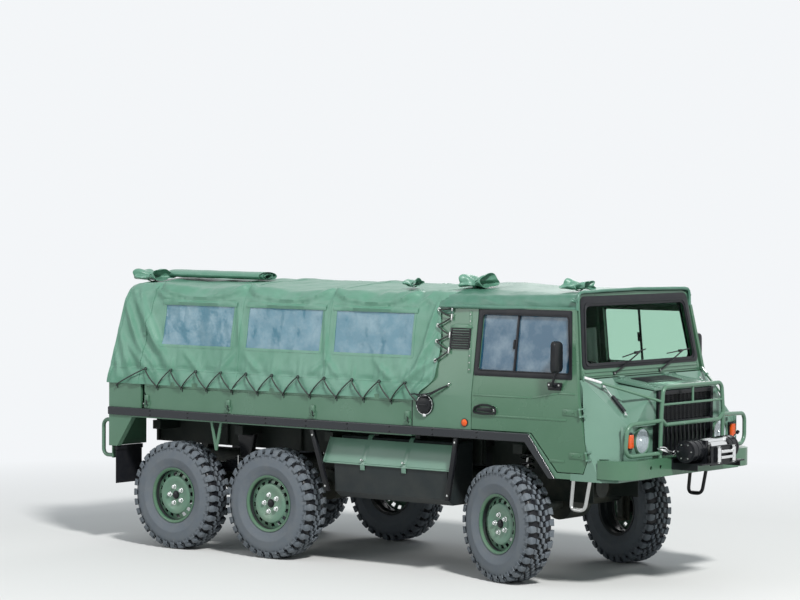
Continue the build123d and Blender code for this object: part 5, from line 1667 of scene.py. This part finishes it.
def winch_dress():
    """Housing bands, cover plate, bright tie bars and rollers: black, steel, bright steel."""
    part = bmesh.new()
    along = aim((1.215, 0, 0.985), (0, 1, 0))
    for y, r in ((-0.322, 0.078), (-0.262, 0.078), (-0.202, 0.078), (-0.158, 0.078), (0.150, 0.082),
                 (0.205, 0.082),
                 (0.262, 0.082)):
        band = turned([(r - 0.004, -0.008), (r + 0.003, -0.006), (r + 0.003, 0.006), (r - 0.004, 0.008)], 40,
                      close=True)
        add(part, band, 0, along @ Matrix.Translation((0, 0, y)))
    for y, r in ((-0.3305, 0.070), (0.2755, 0.074)):
        out = -1 if y < 0 else 1
        cap = turned([(0.0, 0.006), (r * 0.5, 0.005), (r * 0.9, 0.001), (r, -0.004), (0.0, -0.004)], 40)
        add(part, cap, 0, aim((1.215, y, 0.985), (0, out, 0)))
        for k in range(6):
            a = pi * k / 3
            at = (1.215 + r * 0.78 * cos(a), y, 0.985 + r * 0.78 * sin(a))
            add(part, stud(at, (0, out, 0), 0.006, 0.008, 6, 0.001), 1)
    for x in (-0.055, 0.055):
        add(part, pipe([(1.215 + x, -0.128, 1.045), (1.215 + x, 0.128, 1.045)], 0.0105, 14), 2)
    for y0, y1 in ((-0.130, -0.100), (0.100, 0.130)):
        add(part, block((1.150, y0, 1.035), (1.280, y1, 1.062), 0.003), 2)
    cover = block((-0.004, -0.105, -0.045), (0.004, 0.110, 0.045), 0.003)
    add(part, cover, 2, Matrix.Translation((1.286, 0.010, 1.020)) @ Matrix.Rotation(-0.45, 4, "Y"))
    for y in (-0.100, 0.100):
        add(part, stud((1.356, y, 0.904), (0, 0, 1), 0.0158, 0.102, 24, 0.002), 2)
        for z0 in (0.8955, 1.0065):
            add(part, block((1.3375, y - 0.0145, z0), (1.3718, y + 0.0145, z0 + 0.008), 0.002), 2)
    for z in (0.936, 0.976):
        add(part, pipe([(1.356, -0.083, z), (1.356, 0.083, z)], 0.0118, 20), 2)
    lever = rounded([(1.215, 0.290, 1.000), (1.240, 0.300, 1.062), (1.265, 0.300, 1.085)], 0.02)
    add(part, pipe(lever, 0.006, 10), 2)
    add(part, stud((1.262, 0.300, 1.080), (0.6, 0, 0.8), 0.012, 0.026, 16, 0.004), 0)
    return part


def winch_spool():
    """Rope wound tight on the drum, its end led back to the hook on the guard: rope, bright steel."""
    part = bmesh.new()
    along = aim((1.215, 0, 0.985), (0, 1, 0))
    profile = [(0.0265, -0.1295)]
    turns = 26
    for k in range(turns):
        y = -0.1295 + 0.259 * (k + 0.5) / turns
        profile += [(0.0440, y - 0.0042), (0.0478, y - 0.0026), (0.0492, y), (0.0478, y + 0.0026),
                    (0.0440, y + 0.0042)]
    profile.append((0.0265, 0.1295))
    add(part, turned(profile, 40, close=True), 0, along)
    line = rounded([(1.168, -0.090, 0.975), (1.120, -0.120, 0.968), (1.110, -0.200, 0.962),
                    (1.108, -0.290, 0.966)], 0.04)
    add(part, pipe(line, 0.0048, 10), 0)
    add(part, pipe(rounded([(1.108, -0.282, 0.966), (1.112, -0.306, 0.986), (1.108, -0.322, 0.968),
                            (1.108, -0.306, 0.950)], 0.012,
                           4, closed=True), 0.0052, 8, closed=True), 1)
    hook = rounded([(1.108, -0.318, 0.968), (1.110, -0.350, 0.976), (1.108, -0.412, 0.992),
                    (1.098, -0.446, 1.000),
                    (1.068, -0.448, 1.004), (1.052, -0.430, 1.006)], 0.022, 5)
    add(part, pipe(hook, 0.0115, 12, end_radius=0.0065), 1)
    add(part, pipe(rounded([(1.104, -0.372, 0.992), (1.098, -0.404, 1.016), (1.078, -0.446, 1.018)], 0.02),
                   0.0045, 8), 1)
    return part


# Cab and load space

CHANNELS = (-0.5, 0.0, 0.5)


def pad(low, high, thin, channels, lean=None):
    """A crowned cushion with pulled-in sides and sewn channels."""
    part = bmesh.new()
    bmesh.ops.create_cube(part, size=2.0)
    bmesh.ops.subdivide_edges(part, edges=part.edges[:], cuts=17, use_grid_fill=True)
    half = [(b - a) / 2 for a, b in zip(low, high)]
    middle = [(b + a) / 2 for a, b in zip(low, high)]
    flat = [k for k in (0, 1, 2) if k != thin]
    for vert in part.verts:
        u = list(vert.co)
        crown = (1 - abs(u[flat[0]]) ** 3.5) ** 0.5 * (1 - abs(u[flat[1]]) ** 3.5) ** 0.5
        level = u[thin]
        soft = (0.50 + 0.50 * crown) if level > 0 else (0.80 + 0.15 * crown)
        side_pull = 1 - 0.045 * (1 - u[flat[0]] ** 2) - 0.02 * (1 - abs(level))
        place = [0.0, 0.0, 0.0]
        place[thin] = level * soft * half[thin]
        ease = 1 - 0.04 * (1 - u[flat[1]] ** 2) - 0.03 * level * level
        place[flat[0]] = u[flat[0]] * half[flat[0]] * ease
        place[flat[1]] = u[flat[1]] * half[flat[1]] * side_pull
        if level > 0:
            for channel in channels:
                place[thin] -= 0.014 * ridge(u[1] - channel, 0.05) * crown
        place[thin] += 0.003 * noise.noise(Vector(u) * 3.0) * crown
        vert.co = Vector([middle[k] + place[k] for k in range(3)])
    if lean is not None:
        bmesh.ops.transform(part, matrix=lean, verts=part.verts)
    return faced(part)


def seat_lean():
    pivot = Vector((-0.205, 0, 1.30))
    return Matrix.Translation(pivot) @ Matrix.Rotation(radians(-5.5), 4, "Y") @ Matrix.Translation(-pivot)


def seat_cushion(side):
    y0, y1 = sorted((side * 0.282, side * 0.712))
    return pad((-0.225, y0, 1.195), (0.225, y1, 1.312), 2, CHANNELS)


def seat_back(side):
    y0, y1 = sorted((side * 0.282, side * 0.712))
    return pad((-0.250, y0, 1.310), (-0.165, y1, 1.795), 0, CHANNELS, seat_lean())


def seat_frames():
    part = bmesh.new()
    for side in (-1, 1):
        y0, y1 = sorted((side * 0.300, side * 0.695))
        add(part, block((-0.210, y0, 1.0705), (0.195, y1, 1.186), 0.01), 0)
        add(part, block((-0.225, y0 - 0.012, 1.180), (0.225, y1 + 0.012, 1.202), 0.006), 0)
        back = block((-0.262, y0 + 0.01, 1.300), (-0.240, y1 - 0.01, 1.770), 0.01)
        add(part, back, 0, seat_lean())
    return part


def bench_slats():
    """Slatted benches on steel legs: wood, black."""
    part = bmesh.new()
    for side in (-1, 1):
        for k in range(5):
            y = side * (0.452 + k * 0.0765)
            add(part, block((-3.640, y - 0.0325, 1.416), (-0.880, y + 0.0325, 1.440), 0.004), 0)
        for x in (-3.560, -2.700, -1.800, -0.960):
            y0, y1 = sorted((side * 0.430, side * 0.782))
            add(part, block((x - 0.015, y0, 1.398), (x + 0.015, y1, 1.416), 0.002), 1)
            for y in (side * 0.455, side * 0.765):
                add(part, pipe([(x, y, 1.0975), (x, y, 1.399)], 0.014, 12), 1)
                add(part, stud((x, y, 1.0975), (0, 0, 1), 0.030, 0.006, 20, 0.001), 1)
            brace = [(x, side * 0.455, 1.30), (x, side * 0.765, 1.14)]
            add(part, pipe(brace, 0.008, 8), 1)
            for k in range(5):
                y = side * (0.452 + k * 0.0765)
                add(part, stud((x, y, 1.4395), (0, 0, 1), 0.008, 0.003, 10, 0.001), 1)
    return part


def dash_dress():
    """Instrument binnacle, dials and switches: plastic, steel, glass."""
    part = bmesh.new()
    add(part, block((0.430, -0.640, 1.400), (0.500, -0.260, 1.505), 0.02, 3), 0)
    for y, r in ((-0.540, 0.042), (-0.440, 0.034), (-0.360, 0.034), (-0.295, 0.020)):
        at = aim((0.4305, y, 1.452), (-1, 0, 0.15))
        add(part, turned([(r, 0.0), (r, 0.006), (r - 0.003, 0.008), (r - 0.005, 0.005), (r - 0.005, 0.0)], 28,
                         close=True), 1, at)
        add(part, turned([(0.0, 0.0), (r - 0.004, 0.0), (r - 0.004, 0.003), (0.0, 0.003)], 28), 2, at)
    for k in range(7):
        add(part, block((0.430, 0.02 + k * 0.05, 1.418), (0.445, 0.045 + k * 0.05, 1.452), 0.003), 0)
    return part


# Springs

def spring_sets():
    """Front coils with dampers, and the leaf packs between the two rear axles: black, steel."""
    part = bmesh.new()
    low, high = (corner[2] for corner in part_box("springs"))
    for side in (-1, 1):
        y = side * 0.535
        turns, steps = 7, 24
        line = []
        for k in range(turns * steps + 1):
            a = 2 * pi * k / steps
            line.append((0.046 * cos(a), y + 0.046 * sin(a),
                         low + 0.009 + (high - low - 0.018) * k / (turns * steps)))
        add(part, pipe(line, 0.0085, 8), 0)
        for z0, z1, r in ((low, low + 0.006, 0.055), (high - 0.006, high, 0.055)):
            add(part, stud((0, y, z0), (0, 0, 1), r, z1 - z0, 28, 0.001), 0)
        add(part, stud((0, y, low), (0, 0, 1), 0.026, (high - low) * 0.55, 20, 0.002), 0)
        add(part, stud((0, y, low), (0, 0, 1), 0.012, high - low, 16), 1)
        for k in range(6):
            reach = 0.610 - 0.085 * k

            def place(x, v, k=k):
                t = min(1.0, abs(x) / 0.55)
                return Vector((-2.69 + x, y + v, low + 0.0175 + 0.0165 * k + 0.050 * (1 - t * t)))

            leaf = laid_sheet(stations([-reach, 0.0, reach], 0.05), [-0.038, 0.038], place)
            bmesh.ops.recalc_face_normals(leaf, faces=leaf.faces)
            add(part, thicken(leaf, 0.015), 0)
        for x in (-2.745, -2.635):
            for off in (-0.043, 0.043):
                add(part, pipe([(x, y + off, low + 0.050), (x, y + off, low + 0.185)], 0.007, 8), 1)
        add(part, block((-2.775, y - 0.048, low + 0.160), (-2.605, y + 0.048, low + 0.175), 0.004), 0)
        tower = panel([(-2.720, low + 0.105), (-2.660, low + 0.105), (-2.600, high), (-2.780, high)], 0.040,
                      0.004)
        bmesh.ops.transform(tower, matrix=SIDE_VIEW, verts=tower.verts)
        bmesh.ops.recalc_face_normals(tower, faces=tower.faces)
        add(part, tower, 0, Matrix.Translation((0, y - 0.020, 0)))
        for x in (-3.180, -2.200):
            add(part, block((x - 0.060, y - 0.044, low), (x + 0.060, y + 0.044, low + 0.020), 0.004), 0)
    return part


def inner_liners():
    """Dark liners between the backbone and the wheels, under the load bed and the cab, that stand in for the
    shade under the body: painted shade.
    """
    part = bmesh.new()
    for side in (-1, 1):
        y0, y1 = sorted((side * 0.400, side * 0.404))
        add(part, block((-3.760, y0, 0.800), (-0.470, y1, 1.056)), 0)
        for x in (-3.740, -3.000, -2.240, -1.480, -0.500):
            y0, y1 = sorted((side * 0.404, side * 0.430))
            add(part, block((x - 0.012, y0, 0.802), (x + 0.012, y1, 1.054), 0.002), 0)
        y0, y1 = sorted((side * 0.296, side * 0.300))
        add(part, block((-0.466, y0, 0.560), (0.420, y1, 1.000)), 0)
    return part


CAD_FINISHES = {
    "paint": ("cargo_bed", "drop_sides", "corner_panels", "tailgate", "side_panels", "cab_tub",
              "windscreen_frame", "brush_guard", "bumperettes"),
    # The doors and bumper take the darker copy of the paint: painted shade
    "deep_paint": ("bumper", "door_right", "door_left"),
    # The bonnet and nose take the paler copy of the paint: painted highlight
    "pale_paint": ("bonnet", "nose"),
    # Axles, backbone, engine and knuckles take the near-black underside paint, partly painted shade
    "under_paint": ("axles", "backbone", "engine_block", "knuckle_front_right", "knuckle_front_left"),
    # The side boxes' black is partly their own colour and partly painted shade
    "tank_black": ("side_boxes",),
    "rail_black": ("rub_rails",),
    "black_paint": ("grille", "winch", "hoops", "dashboard", "steering_wheel", "tow_hitch"),
    "rubber": ("mudflaps",),
    "window_glass": ("windscreen_glass", "door_glass_left"),
    # The right door's pane takes the opaque blue: painted reflection and shade
    "door_pane_glass": ("door_glass_right",),
}
UNCREASED = ("window_glass", "door_pane_glass")
CREASE_ANGLE = radians(28)
WELD_REACH = 0.00002

# Width of the small bevel on a CAD piece's edges
BEVELLED = {
    "drop_sides": 0.003, "corner_panels": 0.003, "side_panels": 0.003, "nose": 0.005, "bonnet": 0.004,
    "door_right": 0.004, "door_left": 0.004, "rub_rails": 0.007, "windscreen_frame": 0.005,
    "side_boxes": 0.008,
    "cab_tub": 0.003, "tailgate": 0.003, "cargo_bed": 0.003, "grille": 0.003, "winch": 0.003,
    "dashboard": 0.01,
}
BEVEL_ANGLE = radians(40)


def smoothing_nodes():
    """Merge a CAD mesh's loose triangles and shade it smooth between its creases."""
    group = bpy.data.node_groups.new("Smooth between creases", "GeometryNodeTree")
    for way in ("INPUT", "OUTPUT"):
        group.interface.new_socket(name="Geometry", in_out=way, socket_type="NodeSocketGeometry")
    shape = group.nodes.new("NodeGroupInput").outputs["Geometry"]
    merge = new_node(group, "GeometryNodeMergeByDistance", {"Distance": WELD_REACH, "Geometry": shape})
    angle = group.nodes.new("GeometryNodeInputMeshEdgeAngle").outputs["Unsigned Angle"]
    gentle = new_node(group, "FunctionNodeCompare", {"A": angle, "B": CREASE_ANGLE}, data_type="FLOAT",
                      operation="LESS_THAN").outputs["Result"]
    faces = new_node(group, "GeometryNodeSetShadeSmooth", {"Geometry": merge.outputs["Geometry"]},
                     domain="FACE")
    edges = new_node(group, "GeometryNodeSetShadeSmooth",
                     {"Geometry": faces.outputs["Geometry"], "Shade Smooth": gentle}, domain="EDGE")
    feed(group, group.nodes.new("NodeGroupOutput"), {"Geometry": edges.outputs["Geometry"]})
    return group


def dress_cad():
    """Give each CAD piece that stays its material, and its modifiers unless it is glass."""
    smoothing = smoothing_nodes()
    for name, nodes in CAD_FINISHES.items():
        for node in nodes:
            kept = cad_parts[node]
            kept.data.materials.clear()
            kept.data.materials.append(finish(name))
            if name not in UNCREASED:
                kept.modifiers.new("Creases", "NODES").node_group = smoothing
            if node in BEVELLED:
                edge = kept.modifiers.new("Edges", "BEVEL")
                edge.width = BEVELLED[node]
                edge.segments = 2
                edge.limit_method = "ANGLE"
                edge.angle_limit = BEVEL_ANGLE
                edge.harden_normals = True


# Operators

class TruckSizes(bpy.types.PropertyGroup):
    tyre_half: FloatProperty(name="Tyre half width", description="Half the width of a tyre at its widest",
                             default=0.1165, min=0.1, max=0.13, subtype="DISTANCE", unit="LENGTH")
    rope_radius: FloatProperty(name="Lacing radius", description="Radius of the rope that laces the canvas",
                               default=0.0052, min=0.002, max=0.007, subtype="DISTANCE", unit="LENGTH")
    pitches: IntProperty(name="Tread pitches", description="Number of lugs round each shoulder of a tyre",
                         default=32, min=20, max=40)
    paint_colour: FloatVectorProperty(name="Paint colour", description="Colour of the body's paint",
                                      default=(0.068, 0.156, 0.096), min=0.0, max=1.0, size=3,
                                      subtype="COLOR")
    canvas_colour: FloatVectorProperty(name="Canvas colour", description="Colour of the canopy's canvas",
                                       default=(0.092, 0.240, 0.163), min=0.0, max=1.0, size=3,
                                       subtype="COLOR")


FLOOR_REACH = 60.0
LIGHTS = (
    ("key", (17.0, -11.0, 20.0), 3.5, 8400.0),
    ("fill", (-6.0, -9.0, 5.0), 6.0, 200.0),
    ("rim", (-3.0, 9.0, 7.0), 5.0, 220.0),
)
LIGHTS_AIM = Vector((0, 0, 1.0))
SKY = (0.84, 0.92, 1.0, 1)
SKY_STRENGTH = 0.46


def looking(origin, direction):
    """Matrix of a camera or a lamp at a point that looks along a direction."""
    return Matrix.Translation(origin) @ Vector(direction).to_track_quat("-Z", "Y").to_matrix().to_4x4()


def mixed(tree, factor, first, second, output):
    """Send a mix of two shaders to an output node."""
    mix = new_node(tree, "ShaderNodeMixShader", {"Fac": factor, 1: first, 2: second})
    feed(tree, tree.nodes[output], {"Surface": mix.outputs["Shader"]})


class TRUCK_OT_stage(bpy.types.Operator):
    """Set up the camera, the pale floor and the soft light"""
    bl_idname = "truck.stage"
    bl_label = "Stage"

    def execute(self, context):
        scene = context.scene
        scene.view_settings.view_transform = "Standard"
        data = bpy.data.cameras.new("camera")
        data.lens = LENS_MM
        data.sensor_width = 36.0
        data.clip_end = 200.0
        camera = bpy.data.objects.new("camera", data)
        place = looking(Vector(CAMERA_AT) + Vector((AXLE_X, 0, 0)), CAMERA_AIM)
        camera.matrix_world = place @ Matrix.Rotation(CAMERA_ROLL, 4, "Z")
        scene.collection.objects.link(camera)
        scene.camera = camera
        self.floor(scene)
        self.lights(scene)
        return {"FINISHED"}

    def floor(self, scene):
        part = bmesh.new()
        bmesh.ops.create_grid(part, x_segments=8, y_segments=8, size=FLOOR_REACH)
        mesh = bpy.data.meshes.new("floor")
        part.to_mesh(mesh)
        part.free()
        floor = bpy.data.objects.new("floor", mesh)
        scene.collection.objects.link(floor)
        material = bpy.data.materials.new("floor")
        material.use_nodes = True
        tree = material.node_tree
        shader = feed(tree, tree.nodes["Principled BSDF"],
                      {"Base Color": (0.66, 0.66, 0.64, 1), "Roughness": 0.9, "Specular IOR Level": 0.1})
        plain = new_node(tree, "ShaderNodeEmission", {"Color": PALE})
        away = new_node(tree, "ShaderNodeVectorMath", {0: object_place(tree)},
                        operation="LENGTH").outputs["Value"]
        seen_far = maths(tree, "MULTIPLY", ramp(tree, away, 4.0, 9.0), eye_rays(tree))
        mixed(tree, seen_far, shader.outputs["BSDF"], plain.outputs["Emission"], "Material Output")
        mesh.materials.append(material)

    def lights(self, scene):
        world = bpy.data.worlds.new("studio")
        world.use_nodes = True
        tree = world.node_tree
        sky = feed(tree, tree.nodes["Background"], {"Color": SKY, "Strength": SKY_STRENGTH})
        plain = new_node(tree, "ShaderNodeBackground", {"Color": PALE, "Strength": 1.0})
        mixed(tree, eye_rays(tree), sky.outputs["Background"], plain.outputs["Background"], "World Output")
        scene.world = world
        for name, at, size, power in LIGHTS:
            data = bpy.data.lights.new(name, "AREA")
            data.shape = "DISK"
            data.size = size
            data.energy = power
            lamp = bpy.data.objects.new(name, data)
            lamp.matrix_world = looking(at, LIGHTS_AIM - Vector(at))
            scene.collection.objects.link(lamp)


class TRUCK_OT_body(bpy.types.Operator):
    """Give the kept body and running gear their finishes"""
    bl_idname = "truck.body"
    bl_label = "Body finishes"

    def execute(self, context):
        dress_cad()
        return {"FINISHED"}


class TRUCK_OT_wheels(bpy.types.Operator):
    """Make the six tyres and pressed steel wheels"""
    bl_idname = "truck.wheels"
    bl_label = "Tyres and wheels"

    def execute(self, context):
        sizes = context.scene.truck_sizes
        one_tyre, one_wheel = tyre(sizes.tyre_half, sizes.pitches), wheel()
        for name, axle_x, side, steers in WHEELS:
            for kind, source, finishes, slot in (
                ("tyre", one_tyre, "tyre rubber", "tyre"),
                ("rim", one_wheel, "wheel_paint plastic tank_black bright_steel deep_paint", "body_paint"),
            ):
                part = source.copy()
                bmesh.ops.transform(part, matrix=wheel_place(axle_x, side, steers), verts=part.verts)
                finish_piece(f"dress_{kind}_{name}", part, f"wheel_{name}", finishes, slot,
                             (f"{kind}_{name}",))
        one_tyre.free()
        one_wheel.free()
        return {"FINISHED"}


class TRUCK_OT_canvas(bpy.types.Operator):
    """Make the canopy, its clear panes, trim, lacing and the cab's cover"""
    bl_idname = "truck.canvas"
    bl_label = "Canvas"

    def cloth(self, name, part, *stands_for, finishes="canvas", slot="canvas"):
        return finish_piece(name, part, "truck", finishes, slot, stands_for, CLOTH_SMOOTH)

    def execute(self, context):
        trim = self.cloth("canopy_trim", canopy_trim())
        main = self.cloth("canopy_cloth", canopy_cloth(), "canopy")
        rear = self.cloth("canopy_rear_wall", rear_wall())
        for index, (a, b) in enumerate(WINDOWS):
            for side, label in SIDES:
                stands_for = ("canopy_windows",) if index == 0 and side < 0 else ()
                pane = self.cloth(f"pane_{label}_{index}", window_pane(index, side), *stands_for,
                                  finishes="clear_sheet", slot="clear_sheet")
        # The cab's hems and cover take the darker copy of the canvas: painted shade
        hems = self.cloth("cab_hems", cab_hems(), finishes="cab_canvas")
        cover = self.cloth("cab_cover", cab_cover(), "cab_canopy", finishes="cab_canvas")
        finish_pieces(("lacing_*", lacing, "truck", "rope black_paint", "rubber"))
        return {"FINISHED"}


class TRUCK_OT_roof_load(bpy.types.Operator):
    """Make the rolled curtain and the knotted bundles on the roof"""
    bl_idname = "truck.roof_load"
    bl_label = "Rolled curtain"

    def execute(self, context):
        piece = finish_piece("curtain_roll", curtain_roll(), "truck", "canvas", "canvas", ("rolled_curtain",),
                             CLOTH_SMOOTH)
        for name, centre, size, seed, under in ROOF_BUNDLES:
            part, area = gathered(centre, size, seed)
            bundle = finish_piece(name, part, "truck", "canvas", "canvas", (), CLOTH_SMOOTH)
        return {"FINISHED"}


class TRUCK_OT_glazing(bpy.types.Operator):
    """Make the window gaskets, door fittings, wipers and mirrors"""
    bl_idname = "truck.glazing"
    bl_label = "Door and windscreen fittings"

    def execute(self, context):
        finish_pieces(
            ("door_trim_*", door_trim, "door_*", "deep_paint rubber plastic steel", "rubber"),
            ("mirror_dress_*", mirror, "door_*", "plastic mirror_glass steel", "black_plastic", "mirror_*"),
            ("windscreen_trim", windscreen_trim, "truck", "paint rubber plastic steel", "rubber"),
        )
        return {"FINISHED"}


class TRUCK_OT_lamps(bpy.types.Operator):
    """Make the headlamps, turn lamps, side markers and rear lamps"""
    bl_idname = "truck.lamps"
    bl_label = "Lamps"

    def execute(self, context):
        finish_pieces(
            ("headlamp_*", headlamp, "truck", "paint bright_steel lamp_glass", "lamp_glass", "headlamps"),
            ("turn_lamp_*", turn_lamp, "truck", "plastic orange_lens", "orange_lens", "marker_lamps"),
            ("side_marker_*", side_marker, "truck", "plastic orange_lens", "orange_lens"),
            ("rear_lamp_*", rear_lamp, "truck", "plastic red_lens orange_lens lamp_glass", "orange_lens"),
        )
        return {"FINISHED"}


class TRUCK_OT_sides(bpy.types.Operator):
    """Make the louvres, lacing, catches, filler cap, tank covers, stays and steps"""
    bl_idname = "truck.sides"
    bl_label = "Side fittings"

    def execute(self, context):
        finish_pieces(
            ("side_trim_*", side_trim, "truck", "paint plastic steel rope", "body_paint"),
            ("side_hooks_*", side_hooks, "truck", "paint plastic", "black_plastic"),
            ("tank_dress_*", tank_dress, "truck", "pale_paint steel", "body_paint"),
            ("side_stays_*", side_stay, "truck", "black_paint steel", "under_paint", "steps"),
            ("filler_cap", filler_cap, "truck", "plastic bright_steel", "black_plastic"),
            ("bungee", bungee, "truck", "rubber steel", "rubber"),
        )
        for (side, label), metal in zip(SIDES, ("steel", "black_paint")):
            finish_piece(f"step_{label}", step_loop(side), "truck", metal, "steel")
        return {"FINISHED"}


class TRUCK_OT_front(bpy.types.Operator):
    """Make the grille mesh, bonnet vent, catches, stays, winch and its rope"""
    bl_idname = "truck.front"
    bl_label = "Front fittings"

    def execute(self, context):
        finish_pieces(
            ("front_trim", front_trim, "truck", "black_paint pale_paint bright_steel", "dark_paint"),
            ("bonnet_vent", bonnet_vent, "bonnet", "pale_paint plastic", "black_plastic"),
            ("bonnet_catch_*", bonnet_catch, "truck", "bright_steel rubber", "steel"),
            ("winch_dress", winch_dress, "truck", "black_paint steel bright_steel", "steel"),
            ("winch_spool", winch_spool, "truck", "steel bright_steel", "steel", "winch_rope"),
        )
        return {"FINISHED"}


class TRUCK_OT_inside(bpy.types.Operator):
    """Make the padded seats, benches, dials and springs"""
    bl_idname = "truck.inside"
    bl_label = "Seats, benches and springs"

    def execute(self, context):
        for side, label in SIDES:
            for kind, part, stands_for in (("cushion", seat_cushion(side), ("seats",) if side < 0 else ()),
                                           ("back", seat_back(side), ())):
                piece = finish_piece(f"seat_{kind}_{label}", part, "truck", "seat_cloth", "seat_cover",
                                     stands_for,
                                     CLOTH_SMOOTH)
        finish_pieces(
            # Dark plates that stand in for the shade under the body: painted shade
            ("inner_liners", inner_liners, "truck", "under_paint", "under_paint"),
            ("seat_frames", seat_frames, "truck", "black_paint", "dark_paint"),
            ("bench_slats", bench_slats, "truck", "wood black_paint", "slat_wood", "benches"),
            ("dials", dash_dress, "truck", "plastic steel lamp_glass", "black_plastic"),
            ("spring_sets", spring_sets, "truck", "black_paint steel", "dark_paint", "springs"),
        )
        return {"FINISHED"}


OPERATORS = (
    TRUCK_OT_stage, TRUCK_OT_body, TRUCK_OT_wheels, TRUCK_OT_canvas, TRUCK_OT_roof_load,
    TRUCK_OT_glazing, TRUCK_OT_lamps, TRUCK_OT_sides, TRUCK_OT_front, TRUCK_OT_inside,
)


class TRUCK_PT_panel(bpy.types.Panel):
    bl_idname = "TRUCK_PT_panel"
    bl_label = "Truck"
    bl_space_type = "VIEW_3D"
    bl_region_type = "UI"
    bl_category = "Truck"

    def draw(self, context):
        sizes = context.scene.truck_sizes
        for name in TruckSizes.__annotations__:
            self.layout.prop(sizes, name)
        for operator in OPERATORS:
            self.layout.operator(operator.bl_idname)


CLASSES = (TruckSizes,) + OPERATORS + (TRUCK_PT_panel,)


def register():
    for cls in CLASSES:
        bpy.utils.register_class(cls)
    bpy.types.Scene.truck_sizes = PointerProperty(type=TruckSizes)


def unregister():
    del bpy.types.Scene.truck_sizes
    for cls in reversed(CLASSES):
        bpy.utils.unregister_class(cls)


def main():
    register()
    for operator in OPERATORS:
        group, name = operator.bl_idname.split(".")
        getattr(getattr(bpy.ops, group), name)()
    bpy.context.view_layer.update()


if __name__ == "__main__":
    main()
